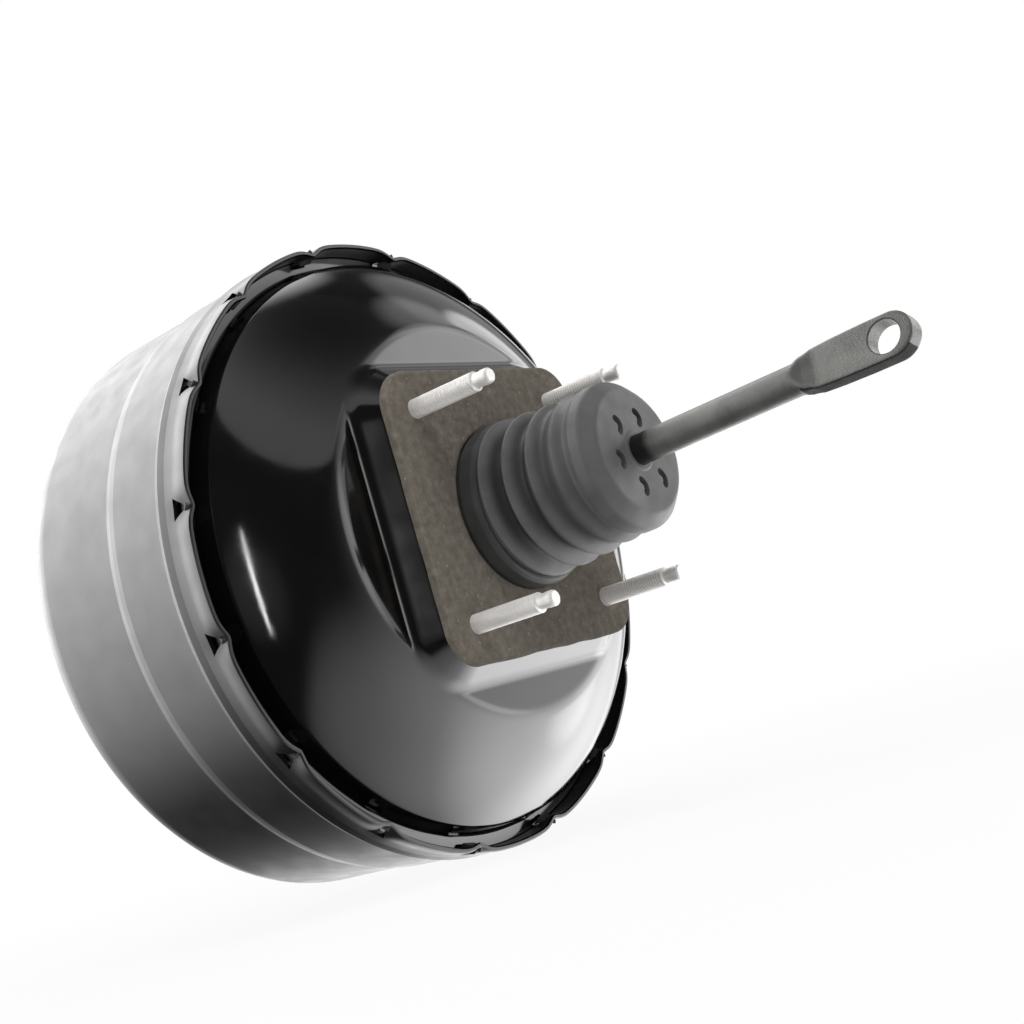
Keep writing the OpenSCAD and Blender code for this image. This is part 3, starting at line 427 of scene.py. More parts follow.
def rear_rings(n):
    """Closed rings of n points: the neck tube, the outer side outward and the inner side back."""
    t = np.arange(n) * TAU / n
    offsets = np.linspace(WALL_IN, OFFSET_MAX, 160)
    squares = np.array([square_radius(t, PLATFORM_W / 2 + o, PLATFORM_CORNER + o)
                        for o in offsets])

    def at(r, y):
        r = np.broadcast_to(r, n)
        return np.stack([r * np.cos(t), np.broadcast_to(y, n), r * np.sin(t)], 1)

    def dome_path(inset):
        """Radius and station of the flat circle, the dome and the flange."""
        lip = (RIM_R - SHEET - 0.3, FLANGE_Y)
        dome = np.vstack([[[FLAT_R - 14, FLAT_Y]],
                          bowed((FLAT_R, FLAT_Y), (DOME_R - 0.5, RIM_Y - 2), DOME_TURN, 40)])
        tail = rounded([tuple(dome[-2]), (DOME_R - 0.2, RIM_Y - 1.6, 3.5),
                        (DOME_R + 1, FLANGE_Y, 1.8), lip], 8)
        head = rounded([tuple(dome[0]), (FLAT_R, FLAT_Y, 16), tuple(dome[5])], 10)
        path = np.vstack([head, dome[6:-2], tail[1:]])
        if inset:
            path = shifted(path, inset)
            path[-1] = (lip[0], FLANGE_Y + inset)
        return path

    def face(inset, step):
        """Rings from the neck tube out to the flange, at the sheet's outer or inner side."""
        y_top, lean = GASKET_T + inset, inset * math.sqrt(1 + DRAFT ** 2)
        path = dome_path(inset)
        low = path[path[:, 0] < LAST_FOOT + 2]

        def height(r):
            """Station of the sheet at each angle: the drafted platform, or the dome behind it."""
            off = np.array([np.interp(a, b, offsets) for a, b in zip(r, squares.T)])
            wall = -smooth_min(-y_top, -(GASKET_T + (off + lean) / DRAFT), EDGE_BLEND)
            return smooth_min(wall, np.interp(r, low[:, 0], low[:, 1]), FOOT_BLEND)

        tube = TUBE_R + SHEET - inset
        rings = [at(tube + (squares[0] - tube) * k, y_top) for k in (0, 0.25, 0.5, 0.75)]
        for off in np.arange(WALL_IN, WALL_OUT + 0.01, step):
            last = square_radius(t, PLATFORM_W / 2 + off, PLATFORM_CORNER + off)
            rings.append(at(last, height(last)))
        count = round(12 / step)
        for k in range(1, count + 1):
            r = last + (FIRST_CIRCLE - last) * k / count
            rings.append(at(r, height(r)))
        for r, y in path[path[:, 0] > FIRST_CIRCLE + 0.5]:
            rings.append(at(r, height(np.full(n, r)) if r < LAST_FOOT else y))
        return rings

    outside, inside = face(0, 0.45), face(SHEET, 1.5)
    outer = TUBE_R + SHEET
    tube = [at(r, y) for r, y in (
        (TUBE_R, GASKET_T + SHEET), (TUBE_R, -5.4), (TUBE_R + 0.5, -6), (outer - 0.5, -6),
        (outer, -5.4), (outer, GASKET_T - 1.5), (outer + 0.5, GASKET_T - 0.4))]
    return tube + outside[1:] + inside[::-1][:-1]


bm = bmesh.new()
add_rings(bm, rear_rings(576))
finish_mesh("rear_shell_skin", bm, GLOSS, "housing", ["rear_shell"], "shell_gloss_black")

# Front shell: rim band with its locks, stepped drum, front face and boss
# Columns of the grid inside a lock and to each side of it, and the station of a lock's point
COLUMNS_IN, COLUMNS_OUT = 8, 20
CUT_START = RIM_Y + 2.5


def front_grid():
    """Rows of the outer side as (radius, station), and the rows where a lock starts and ends."""
    outer = rounded([(RIM_R - 0.5, RIM_Y), (RIM_R, RIM_Y + 0.5, 0.3), (RIM_R + 0.4, LEDGE_Y - 4, 3),
                     (RIM_R + 0.9, LEDGE_Y - 0.5, 0.8), (RIM_R - 0.4, LEDGE_Y + 2.2, 1.2),
                     (RIM_R - 0.9, STEP_Y - 4, 4), (RIM_R - 1.3, STEP_Y - 1.2, 1.2),
                     (RIM_R - 2.0, STEP_Y + 1.6, 2.0), (RIM_R - 2.3, FRONT_Y - 13),
                     (RIM_R - 2.6, FRONT_Y, 13), (62, FRONT_Y, 4), (57, BOSS_Y, 2.5),
                     (24.2, BOSS_Y)], 8)
    band = [CUT_START + (FLANGE_Y - CUT_START) * k / 5 for k in range(6)]
    first = [p for p in outer if p[1] < CUT_START - 0.1 and p[0] > 120]
    rest = [p for p in outer if p[1] > FLANGE_Y + 0.2 or p[0] < 120]
    lead = [np.array([RIM_R + 0.05, CUT_START - 1.2])]
    rows = first + lead + [np.array([RIM_R + 0.05 + 0.02 * k, y]) for k, y in enumerate(band)]
    cut = (len(first) + 1, len(rows) - 1)
    more = refine(np.array([rows[-1]] + rest), 6.0)[1:]
    return np.array(rows + list(more)), cut


def sector_columns(half):
    """Arc positions across one sector: even inside the lock, and spread outside it."""
    edge = RIM_R * math.pi / LANCES
    inside = [half * k / (COLUMNS_IN / 2)
              for k in range(-COLUMNS_IN // 2, COLUMNS_IN // 2 + 1)]
    left = [-edge + (edge - half) * k / COLUMNS_OUT for k in range(COLUMNS_OUT)]
    right = [half + (edge - half) * k / COLUMNS_OUT for k in range(1, COLUMNS_OUT)]
    return np.array(left + inside + right)


def lip_shift(arc, y):
    """The lip is drawn in at each lock and bulges between them."""
    near = np.exp(-(np.abs(arc) / 4.6) ** 1.6)
    fade = 1 / (1 + math.exp((y - RIM_Y - 5.5) / 1.3))
    return (0.95 - 2.5 * near) * fade


def front_shell_piece():
    """The drum with an opening at each lock; two grids are joined round their open edges."""
    rows, (cut0, cut1) = front_grid()
    inner_rows = shifted(rows, SHEET)
    inner_rows[:, 0] = np.where(rows[:, 1] < LEDGE_Y - 5, RIM_R - SHEET, inner_rows[:, 0])
    inner_rows[0] = (RIM_R - SHEET + 0.5, RIM_Y)
    inner_rows[1:3, 1] = np.maximum(inner_rows[1:3, 1], RIM_Y + 0.3)
    sector = TAU / LANCES

    def ring(row):
        r, y = row
        half = np.interp(y, [CUT_START, FLANGE_Y], [0.2, LANCE_W / 2])
        arc = sector_columns(half)
        shift = lip_shift(arc, y) if r > 100 else 0 * arc
        t = np.concatenate([(k + 0.5) * sector + arc / RIM_R for k in range(LANCES)])
        rr = r + np.tile(shift, LANCES)
        return np.stack([rr * np.cos(t), np.full(len(t), y), rr * np.sin(t)], 1)

    bm = bmesh.new()
    grids = []
    for source in (rows, inner_rows):
        grids.append([[bm.verts.new(Vector(p) * MM) for p in ring(row)] for row in source])
    out, inn = grids
    n = len(out[0])
    width = COLUMNS_IN + 2 * COLUMNS_OUT

    def in_lock(i, j):
        c = j % width
        return cut0 <= i < cut1 and COLUMNS_OUT <= c < COLUMNS_OUT + COLUMNS_IN

    for i in range(len(rows) - 1):
        for j in range(n):
            k = (j + 1) % n
            if not in_lock(i, j):
                bm.faces.new((out[i][j], out[i][k], out[i + 1][k], out[i + 1][j]))
                bm.faces.new((inn[i][j], inn[i + 1][j], inn[i + 1][k], inn[i][k]))
            else:
                if not in_lock(i, j - 1):
                    bm.faces.new((out[i][j], inn[i][j], inn[i + 1][j], out[i + 1][j]))
                if not in_lock(i, j + 1):
                    bm.faces.new((out[i][k], out[i + 1][k], inn[i + 1][k], inn[i][k]))
                if i == cut0:
                    bm.faces.new((out[i][j], out[i][k], inn[i][k], inn[i][j]))
                if i == cut1 - 1:
                    bm.faces.new((out[i + 1][j], inn[i + 1][j], inn[i + 1][k], out[i + 1][k]))
    for i in (0, len(rows) - 1):
        for j in range(n):
            k = (j + 1) % n
            bm.faces.new((out[i][j], out[i][k], inn[i][k], inn[i][j]))
    finish_mesh("front_shell_skin", bm, SATIN, "housing", ["front_shell"], "shell_satin_black",
                sharp=40)


front_shell_piece()


def lock_tabs():
    """The pressed-in tongues of the locks, each still joined to the band at its point."""
    bm = bmesh.new()
    run, corner_x, thick = FLANGE_Y - CUT_START - 0.2, LANCE_W / 2 - 0.35, 1.7
    pitch = math.atan2(LANCE_IN, run)
    triangle = [(0, -1.6), (corner_x, run, 0.7), (-corner_x, run, 0.7), (0, -1.6)]
    outline = refine(rounded(triangle, 4), 3.0)[:-1]
    for k in range(LANCES):
        a = (k + 0.5) * TAU / LANCES
        radial = Vector((math.cos(a), 0, math.sin(a)))
        tangent = Vector((-math.sin(a), 0, math.cos(a)))
        along = Vector((0, 1, 0)) * math.cos(pitch) - radial * math.sin(pitch)
        out = radial * math.cos(pitch) + Vector((0, 1, 0)) * math.sin(pitch)
        base = radial * (RIM_R - 0.35) + Vector((0, CUT_START, 0))
        layers = []
        for h, shrink in ((-thick, 0.12), (-thick + 0.3, 0), (-0.3, 0), (0, 0.12)):
            s = 1 - shrink * 0.4
            layers.append([base + tangent * x * s + along * (y * s) + out * h
                           for x, y in outline])
        add_rings(bm, layers, closed=False)
    finish_mesh("front_shell_locks", bm, LIT_TAB_BLACK, "housing", slot="shell_satin_black")


lock_tabs()


# Gasket: soft foam with worn edges, dimpled where the studs pass through
DIMPLE_DEPTH, DIMPLE_R = 0.5, 5.4


def gasket_piece(n=512):
    """A square pad with a round opening; its edges waver a little and are worn round."""
    t = np.arange(n) * TAU / n
    rng = np.random.default_rng(4)
    hole_wave = sum(0.10 * np.cos(k * t + rng.uniform(0, TAU)) / k for k in range(3, 12))
    side_wave = sum(0.22 * np.cos(k * t + rng.uniform(0, TAU)) / math.sqrt(k)
                    for k in range(5, 30))
    hole = GASKET_HOLE + 0.05 + hole_wave
    rim = square_radius(t, GASKET_W / 2 - 0.1, PLATFORM_CORNER) + side_wave * 0.5
    profile = [(0, 0.9), (0.15, 0.35), (0.6, 0.05), (1.5, 0)]
    rings = []
    for inset, y in profile:
        rings.append((hole + inset, y))
    for k in np.linspace(0.08, 0.92, 14):
        rings.append((hole + (rim - hole) * k, 0))
    for inset, y in profile[::-1]:
        rings.append((rim - inset, y))
    for y in (2.0, GASKET_T - 0.2):
        rings.append((rim + 0.1, y))
    rings.append((rim - 0.3, GASKET_T - 0.02))
    rings.append((hole + 0.3, GASKET_T - 0.02))
    rings.append((hole, GASKET_T - 0.3))
    rings.append((hole, 2.0))
    points = []
    for r, y in rings:
        x, z = r * np.cos(t), r * np.sin(t)
        yy = np.full(n, float(y))
        if y == 0:
            near = np.hypot(np.abs(x) - STUD_PITCH / 2, np.abs(z) - STUD_PITCH / 2)
            yy = yy + DIMPLE_DEPTH * np.exp(-(near / DIMPLE_R) ** 4)
        points.append(np.stack([x, yy, z], 1))
    bm = bmesh.new()
    add_rings(bm, points)
    return finish_mesh("gasket_pad", bm, FOAM, "housing", ["gasket"], "gasket_foam", sharp=60)


gasket = gasket_piece()


# Threaded studs
def stud_mesh(bm, origin, sign, r, pitch, reach, plain, lead_in, head, n=36):
    """One stud along Y: its head and plain root, a cut thread, and a thinner or chamfered end.

    The head and the lead-in end are given as points (radius, distance from the face).
    """
    depth = 0.2 * pitch
    start, end = plain, reach - lead_in["len"]
    rings = []

    def ring(radius, y):
        t = np.arange(n) * TAU / n
        return np.stack([origin[0] + radius * np.cos(t), np.full(n, origin[1] + sign * y),
                         origin[2] + radius * np.sin(t)], 1)

    for radius, y in head:
        rings.append(ring(radius, y))
    t = np.arange(n) * TAU / n
    steps = int((end - start) / pitch * 10)
    for i in range(steps + 1):
        y = start + (end - start) * i / steps
        phase = (y / pitch - t / TAU) % 1.0
        groove = np.clip(1 - np.abs(phase - 0.5) / 0.44, 0, 1) ** 1.3
        fade = min(1, (y - start) / (1.2 * pitch))
        fade *= min(1, (end - y) / (0.5 * pitch) + 0.25)
        rings.append(ring(r - 0.04 - depth * groove * fade, y))
    for radius, y in lead_in["profile"]:
        rings.append(ring(radius, y))
    add_rings(bm, rings, closed=False)


def studs(name, places, sign, r, pitch, reach, plain, lead_in, head, replaces, y0):
    """A set of studs as one piece; places are (x, z) on the face at y0."""
    bm = bmesh.new()
    for x, z in places:
        stud_mesh(bm, (x, y0, z), sign, r, pitch, reach, plain, lead_in, head)
    return finish_mesh(name, bm, ZINC, "housing", replaces, "zinc_steel", sharp=28)


corner = STUD_PITCH / 2
tip = [(3.05, 7.1), (2.95, 6.4), (2.95, 4.2), (3.1, 3.6), (3.1, 1.0), (2.9, 0.45), (2.4, 0)]
studs("firewall_stud_set", [(x, z) for x in (-corner, corner) for z in (-corner, corner)],
      sign=-1, r=4.0, pitch=1.25, reach=STUD_REACH, plain=1.0,
      lead_in={"len": 7.6, "profile": [(r, STUD_REACH - y) for r, y in tip]},
      head=[(6.0, -12), (7.0, -11), (7.0, -9), (4.5, -9), (4.5, -1.4), (4.0, -1.2)],
      replaces=["firewall_studs"], y0=0)
studs("master_cylinder_stud_set", [(-MC_PITCH / 2, 0), (MC_PITCH / 2, 0)],
      sign=1, r=5.0, pitch=1.5, reach=MC_REACH, plain=1.5,
      lead_in={"len": 1.6, "profile": [(4.6, MC_REACH - 1.2), (3.7, MC_REACH)]},
      head=[(7.0, -8), (8.0, -7), (8.0, -5), (5.5, -5), (5.5, -0.1), (5.0, 0.0)],
      replaces=["master_cylinder_studs"], y0=BOSS_Y)


# Boot: base ring on the housing, bellows and vented end cap that ride on the pushrod
def round_rod(profile, n=160, sag=None):
    """Rings about the pushrod's axis from points (radius, distance from the ball)."""
    t = np.arange(n) * TAU / n
    return [np.stack([r * np.cos(t), r * np.sin(t) - (sag(s) if sag else 0), np.full(n, s)], 1)
            for r, s in profile]


def fold_radius(s):
    """The bellows' outer radius at a distance from the ball's centre."""
    run = s - FOLD_START
    crest, groove = FOLD_CREST - run / 13.0, min(29.0, 25.2 + run / 9.0)
    wave = abs(math.sin(math.pi * run / FOLD_PITCH)) ** 1.5
    return crest - (crest - groove) * wave


def fold_sag(s):
    """How far the folds hang below the pushrod's axis."""
    return 0.6 * max(0.0, math.sin(math.pi * (s - 25.0) / 42.0))


outer_line = np.array([(fold_radius(max(s, 25.0)), s) for s in np.arange(19.6, SEAM + 0.01, 0.42)])
inner_line = outer_line - np.array([BOOT_WALL, 0])
bm = bmesh.new()
add_rings(bm, round_rod(np.vstack([outer_line, inner_line[::-1]]), sag=fold_sag))
bmesh.ops.transform(bm, matrix=rod_matrix(), verts=bm.verts)
bellows = finish_mesh("boot_bellows", bm, SHADED_FOLDS, "pushrod", slot="boot_rubber", sharp=60)
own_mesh(bellows)

ring_profile = rounded([
    (30.2, 3.6), (30.2, -7.5), (31.0, -9.6, 0.6), (33.0, -9.2, 1.0), (34.2, -7.2, 1.2),
    (34.3, -1.6, 0.8), (33.4, -0.2, 0.5), (33.4, 3.6), (30.2, 3.6)], 5)[:-1]
turned_piece("boot_base_ring", ring_profile, 160, SHADED_RING_RUBBER, "housing", slot="boot_rubber")


def cutter_mesh(name, bm, turn=0.0):
    """Moves a cutter to the pushrod's frame and keeps it as a loose mesh."""
    bmesh.ops.recalc_face_normals(bm, faces=bm.faces)
    bmesh.ops.transform(bm, matrix=rod_matrix(turn), verts=bm.verts)
    mesh = bpy.data.meshes.new(name)
    bm.to_mesh(mesh)
    bm.free()
    return mesh


def arc_points(x, y, r, degrees):
    return [(x + r * math.cos(math.radians(u)), y + r * math.sin(math.radians(u)))
            for u in degrees]


# Crescent vents: distance from the axis, mean radius, half-width, and first and last angle
VENTS, VENT_TURN, VENT_OUT = 6, 9, 14.5
VENT_R, VENT_HALF, VENT_LOW, VENT_HIGH = 3.1, 1.55, -46, 64


def crescent_cutters():
    """Six crescent slots through the end face, all opening the same way."""
    bm = bmesh.new()
    sweep, end = np.linspace(VENT_LOW, VENT_HIGH, 20), np.linspace(0, 180, 8)[1:-1]
    for k in range(VENTS):
        a = math.radians(VENT_TURN + 60 * k)
        cx, cy = VENT_OUT * math.cos(a) - 0.7, VENT_OUT * math.sin(a) - 0.8
        (hx, hy), (lx, ly) = arc_points(cx, cy, VENT_R, (VENT_HIGH, VENT_LOW))
        outline = (arc_points(cx, cy, VENT_R + VENT_HALF, sweep)
                   + arc_points(hx, hy, VENT_HALF, VENT_HIGH + end)
                   + arc_points(cx, cy, VENT_R - VENT_HALF, sweep[::-1])
                   + arc_points(lx, ly, VENT_HALF, VENT_LOW + 180 + end))
        layers = [[(x, y, z) for x, y in outline] for z in (BOOT_END - 5, BOOT_END + 3)]
        add_rings(bm, layers, closed=False)
    return cutter_mesh("cutters", bm)


def cut(obj, tool):
    """Cuts a mesh out of a piece for good, and removes the cutter."""
    cutter = bpy.data.objects.new("cutter", tool)
    bpy.context.scene.collection.objects.link(cutter)
    mod = obj.modifiers.new("cut", "BOOLEAN")
    mod.operation, mod.solver, mod.object = "DIFFERENCE", "EXACT", cutter
    bpy.context.view_layer.update()
    depsgraph = bpy.context.evaluated_depsgraph_get()
    done = bpy.data.meshes.new_from_object(obj.evaluated_get(depsgraph))
    obj.modifiers.clear()
    obj.data = done
    bpy.data.objects.remove(cutter)
    for p in done.polygons:
        p.use_smooth = True
    done.set_sharp_from_angle(angle=math.radians(32))


cap_out = rounded([(29.0, SEAM - 2.4), (29.3, SEAM - 0.6, 0.5), (CAP_R, SEAM + 1.6, 0.8),
                   (CAP_R, BOOT_END - 5, 3.2), (CAP_R - 5, BOOT_END, 2.5), (8.4, BOOT_END),
                   (7.6, BOOT_END + 0.5, 0.4), (6.1, BOOT_END + 0.5)], 7)
cap_in = rounded([(6.1, BOOT_END - 2.6), (CAP_R - 5.6, BOOT_END - 2.6, 1.5),
                  (CAP_R - 2.4, BOOT_END - 6, 2), (CAP_R - 2.4, SEAM - 2.4)], 5)
bm = bmesh.new()
add_rings(bm, round_rod(np.vstack([refine(cap_out, 2.5), cap_in])))
bmesh.ops.transform(bm, matrix=rod_matrix(), verts=bm.verts)
boot_cap = finish_mesh("boot_cap", bm, RUBBER, "pushrod", ["boot"], "boot_rubber")
cut(boot_cap, crescent_cutters())


# Pushrod: a round bar forged flat at its eye
EYE_W, EYE_T, EYE_CORNER, EYE_TIP = 8.5, 3.75, 0.28, 10.8
# Where the narrow sides take the painted shade, as distances from the ball
SIDE_SHADE_FROM, SIDE_SHADE_TO = 153, 197
# From the bar to the eye: distance from the ball, half thickness, half width, roundness
HALF_T, HALF_W, ROUNDNESS = 1, 2, 3
FORGING = np.array([(0, 6, 6, 1), (151.5, 6, 6, 1), (156.5, 4.5, 6.9, 0.7),
                    (160.5, EYE_T, 7.8, 0.42), (168, EYE_T, 8.2, 0.3),
                    (180.7, EYE_T, EYE_W, EYE_CORNER), (203, EYE_T, EYE_W, EYE_CORNER)])
# The turned part as (radius, distance from the ball), with the spring's seat at 40
BAR = [(4.0, 6.0), (4.0, 13.2), (6.0, 17.2), (6.0, 38.4), (6.6, 39.0), (9.6, 39.0), (10.0, 39.3),
       (10.0, 40.7), (9.6, 41.0), (6.4, 41.0), (6.0, 41.5), (6.0, 60.0), (6.0, 90.0),
       (6.0, 120.0), (6.0, 140.0)]


def rod_section(half_w, half_t, corner, n):
    """Points round a rounded rectangle of half sizes half_w (local Y) and half_t (local X)."""
    t = np.arange(n) * TAU / n
    p = 2.0 + 10.0 * (1 - corner)
    c, s = np.cos(t), np.sin(t)
    x = half_t * np.sign(c) * np.abs(c) ** (2 / p)
    y = half_w * np.sign(s) * np.abs(s) ** (2 / p)
    return x, y


def forged(s, column):
    """A size of the forged end at a distance from the ball; it eases in over its first steps."""
    knots, values = FORGING[:, 0], FORGING[:, column]
    i = int(np.searchsorted(knots, s, side="right")) - 1
    i = max(0, min(i, len(knots) - 2))
    u = min(max((s - knots[i]) / (knots[i + 1] - knots[i]), 0), 1)
    u = u * u * (3 - 2 * u) if values[i] != values[i + 1] and i in (1, 2) else u
    return values[i] + (values[i + 1] - values[i]) * u


def pushrod_piece(n=96):
    """The turned bar, the forged flat and the round end, with painted shade on the narrow sides."""
    rings = []

    def ring(half_w, half_t, corner, s):
        x, y = rod_section(half_w, half_t, corner, n)
        rings.append(np.stack([x, y, np.full(n, s)], 1))

    for r, s in BAR:
        ring(r, r, 1.0, s)
    tip_s = ROD_LEN + EYE_TIP - EYE_W
    for s in np.arange(146, tip_s, 1.5):
        ring(forged(s, HALF_W), forged(s, HALF_T), forged(s, ROUNDNESS), s)
    for a in np.linspace(0, 88, 16):
        s = tip_s + EYE_W * math.sin(math.radians(a))
        w = EYE_W * math.cos(math.radians(a))
        over = w / EYE_W
        ring(max(w, 0.4), EYE_T - 0.5 * (1 - over) ** 3, EYE_CORNER + 0.25 * (1 - over), s)
    bm = bmesh.new()
    add_rings(bm, rings, closed=False)
    bmesh.ops.transform(bm, matrix=rod_matrix(ROD_TURN), verts=bm.verts)
    obj = finish_mesh("pushrod_bar", bm, ROD, "pushrod", ["input_rod"], "rod_steel", sharp=26)
    obj.data.materials.append(SHADED_ROD_SIDE)
    back_to_rod = rod_matrix(ROD_TURN).inverted()
    flat_axis = rod_matrix(ROD_TURN).to_3x3() @ Vector((1, 0, 0))
    # Faces on the narrow sides of the forged end take the painted shade
    for p in obj.data.polygons:
        s = (back_to_rod @ p.center).z / MM
        if SIDE_SHADE_FROM < s < SIDE_SHADE_TO and abs(p.normal.dot(flat_axis)) < 0.6:
            p.material_index = 1
    return obj


def eye_cutter(n=72):
    """The eye's bore with a chamfer at each side."""
    bm = bmesh.new()
    t = np.arange(n) * TAU / n
    profile = [(7.6, -6), (7.6, -4.6), (6.2, -3.3), (6.2, 3.3), (7.6, 4.6), (7.6, 6)]
    add_rings(bm, [np.stack([np.full(n, x), r * np.cos(t), ROD_LEN + r * np.sin(t)], 1)
                   for r, x in profile], closed=False)
    return cutter_mesh("eye_cutter", bm, ROD_TURN)


pushrod = pushrod_piece()
cut(pushrod, eye_cutter())

# Camera, fitted to the photograph
AZ, EL, ROLL = math.radians(-52.670), math.radians(-6.658), math.radians(-16.287)
DIST, SHIFT_X, SHIFT_Y, TARGET_Y = 712.68, 31.924, 10.792, 44.54
FOCAL_PX, IMAGE_PX, SENSOR = 1709.0, 1024, 36.0
right = Vector((math.cos(AZ), math.sin(AZ), 0))
back = Vector((math.sin(AZ) * math.cos(EL), -math.cos(AZ) * math.cos(EL), math.sin(EL)))
up = right.cross(-back)
right, up = (right * math.cos(ROLL) + up * math.sin(ROLL),
             up * math.cos(ROLL) - right * math.sin(ROLL))
camera_data = bpy.data.cameras.new("camera")
camera_data.sensor_width = SENSOR
camera_data.lens = FOCAL_PX / IMAGE_PX * SENSOR
camera_data.clip_start, camera_data.clip_end = 0.05, 30.0
camera = bpy.data.objects.new("camera", camera_data)
bpy.context.scene.collection.objects.link(camera)
eye = (Vector((0, TARGET_Y, 0)) + back * DIST + right * SHIFT_X + up * SHIFT_Y) * MM
camera.matrix_world = Matrix.Translation(eye) @ Matrix((right, up, back)).transposed().to_4x4()
bpy.context.scene.camera = camera


# Floor and studio
def direction(az, el):
    """A direction by its azimuth from -Y toward +X and its elevation, in degrees."""
    a, e = math.radians(az), math.radians(el)
    return Vector((math.sin(a) * math.cos(e), -math.cos(a) * math.cos(e), math.sin(e)))


def softbox(name, az, el, dist, width, height, power, target=(0, 0.05, 0)):
    """A lamp with a flat face, turned to the target; metres and watts."""
    light = bpy.data.lights.new(name, "AREA")
    light.shape, light.size, light.size_y, light.energy = "RECTANGLE", width, height, power
    obj = bpy.data.objects.new(name, light)
    bpy.context.scene.collection.objects.link(obj)
    d = direction(az, el)
    centre = Vector(target) + d * dist
    obj.matrix_world = Matrix.Translation(centre) @ d.to_track_quat("Z", "Y").to_matrix().to_4x4()
    return obj


def studio_world():
    """White to the camera; to gloss, a studio with an upper panel, a lit floor and soft lights."""
    world = bpy.data.worlds.new("studio")
    bpy.context.scene.world = world
    world.use_nodes = True
    tree = world.node_tree
    tree.nodes.clear()
    new, link = tree.nodes.new, tree.links.new
    ray = new("ShaderNodeTexCoord").outputs["Generated"]

    def math_node(op, a, b):
        node = new("ShaderNodeMath")
        node.operation = op
        for k, v in enumerate((a, b)):
            if isinstance(v, (int, float)):
                node.inputs[k].default_value = v
            else:
                link(v, node.inputs[k])
        return node.outputs[0]

    def glow(az, el, inner, outer, strength):
        dot = vector_math(tree, "DOT_PRODUCT", ray, direction(az, el))
        edges = math.cos(math.radians(outer)), math.cos(math.radians(inner))
        return map_range(tree, dot, edges, (0.0, strength))

    def add(first, *others):
        for other in others:
            first = math_node("ADD", first, other)
        return first

    def less(value, *patch):
        """Takes a share of the light away inside a patch."""
        return math_node("MULTIPLY", value, math_node("SUBTRACT", 1.0, glow(*patch)))

    panel = less(glow(*PANEL), *PANEL_SHADE)
    lit = add(0.02, *[glow(*args) for args in FLOOR_GLOWS])
    low = math_node("MULTIPLY", glow(*FLOOR_PATCH), lit)
    total = less(add(panel, low, *[glow(*args) for args in GLOWS]), *DARK_PATCH)
    gloss = add(total, 0.06)
    plain = add(math_node("MULTIPLY", total, 0.1), 0.2)
    path = new("ShaderNodeLightPath")
    back_gloss, back_plain, white = (new("ShaderNodeBackground") for _ in range(3))
    link(gloss, back_gloss.inputs["Strength"])
    link(plain, back_plain.inputs["Strength"])
    for node in (back_gloss, back_plain, white):
        node.inputs["Color"].default_value = (1, 1, 1, 1)
    inner, outer = new("ShaderNodeMixShader"), new("ShaderNodeMixShader")
    out = new("ShaderNodeOutputWorld")
    link(path.outputs["Is Glossy Ray"], inner.inputs[0])
    link(back_plain.outputs[0], inner.inputs[1])
    link(back_gloss.outputs[0], inner.inputs[2])
    link(path.outputs["Is Camera Ray"], outer.inputs[0])
    link(inner.outputs[0], outer.inputs[1])
    link(white.outputs[0], outer.inputs[2])
    link(outer.outputs[0], out.inputs["Surface"])


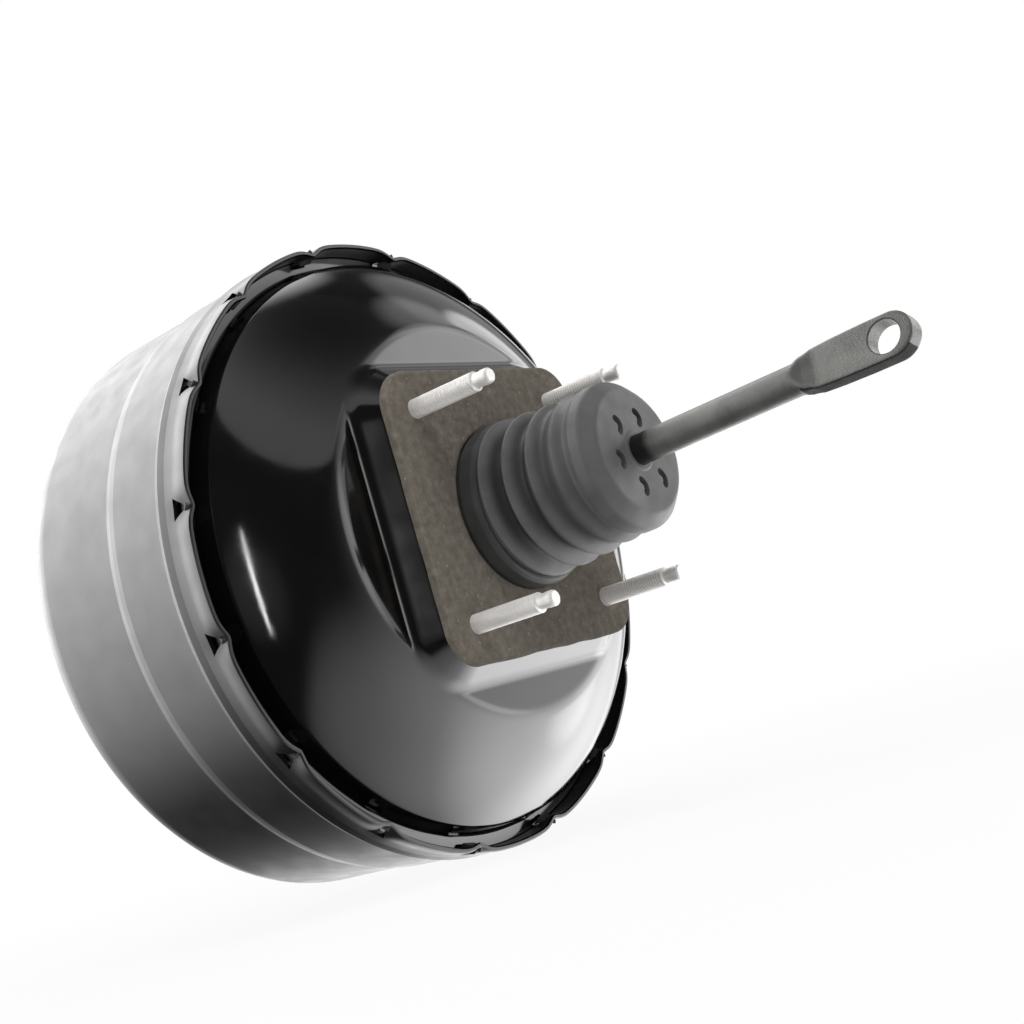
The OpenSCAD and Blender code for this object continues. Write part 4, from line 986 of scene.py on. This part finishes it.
# Soft lights of the studio, and patches that shade them: azimuth, elevation, inner and outer
# half-angles, strength or share
PANEL, PANEL_SHADE = (9.6, 57.4, 33.4, 34.4, 1.06), (58.8, 57.0, 1.9, 49.3, 0.97)
FLOOR_PATCH, DARK_PATCH = (43.5, -37.4, 62.8, 71.3, 1.0), (43.5, 6.5, 5.0, 7.5, 0.85)
FLOOR_GLOWS = [(2.4, -48.3, 1.3, 46.0, 1.51), (79.2, -15.4, 1.5, 87.9, 2.54)]
GLOWS = [
    (84.4, 21.5, 11.1, 13.9, 2.3), (70.8, 38.1, 5.5, 13.3, 0.9), (56.9, 28.3, 0.7, 10.4, 1.5),
    (89.2, 28.4, 16.3, 21.4, 0.5), (67.2, -32.3, 0.3, 40.6, 3.23), (64.8, -7.6, 2.8, 8.0, 0.8),
    (54, 15, 4, 9, 1.8), (44, -8, 3, 8, 1.6), (73, -22, 2, 12, 2.0), (20, 6, 6, 14, 2.2),
    (-147.6, 12.1, 7.6, 54.5, 4.47), (-168.8, 30.2, 18.6, 46.1, 2.9),
    (145.9, -0.4, 27.2, 39.5, 1.25), (-52.0, -1.5, 1.0, 20.2, 0.27), (158, 50, 8, 34, 2.2),
    (132, -25, 6, 24, 1.6), (130, 64, 6, 20, 3.0),
]
studio_world()
softbox("strip", -51.8, 0.4, 1.6, 0.05, 0.95, 2.6).data.shape = "ELLIPSE"
softbox("key", -40, 64, 1.4, 0.8, 0.8, 11).visible_glossy = False


FLOOR_Z, FLOOR_R = -0.1325, 6.0


def floor_piece():
    """Pale paper that keeps the shadow near the object and fades to white away from it."""
    bm = bmesh.new()
    bmesh.ops.create_circle(bm, cap_ends=True, radius=FLOOR_R, segments=96)
    bmesh.ops.translate(bm, vec=(0, 0.05, FLOOR_Z), verts=bm.verts)
    mesh = bpy.data.meshes.new("floor")
    bm.to_mesh(mesh)
    bm.free()
    m, tree, b = new_material("floor_paper")
    new, link = tree.nodes.new, tree.links.new
    b.inputs["Roughness"].default_value = 0.9
    b.inputs["Specular IOR Level"].default_value = 0.0
    fac = object_noise(tree, 3.0)
    link(ramp(tree, fac, [(0.3, 0.86), (0.7, 0.88)]), b.inputs["Base Color"])
    away = vector_math(tree, "LENGTH", object_coord(tree))
    share = map_range(tree, away, (0.2, 0.8), (0.93, 1.0), "LINEAR")
    seen = new("ShaderNodeMath")
    seen.operation = "MULTIPLY"
    link(new("ShaderNodeLightPath").outputs["Is Camera Ray"], seen.inputs[0])
    link(share, seen.inputs[1])
    mix = new("ShaderNodeMixShader")
    link(seen.outputs[0], mix.inputs[0])
    link(b.outputs[0], mix.inputs[1])
    link(new("ShaderNodeEmission").outputs[0], mix.inputs[2])
    link(mix.outputs[0], tree.nodes["Material Output"].inputs["Surface"])
    mesh.materials.append(m)
    obj = bpy.data.objects.new("floor", mesh)
    bpy.context.scene.collection.objects.link(obj)
    obj.visible_glossy = False


floor_piece()

bpy.context.scene.view_settings.view_transform = "Standard"
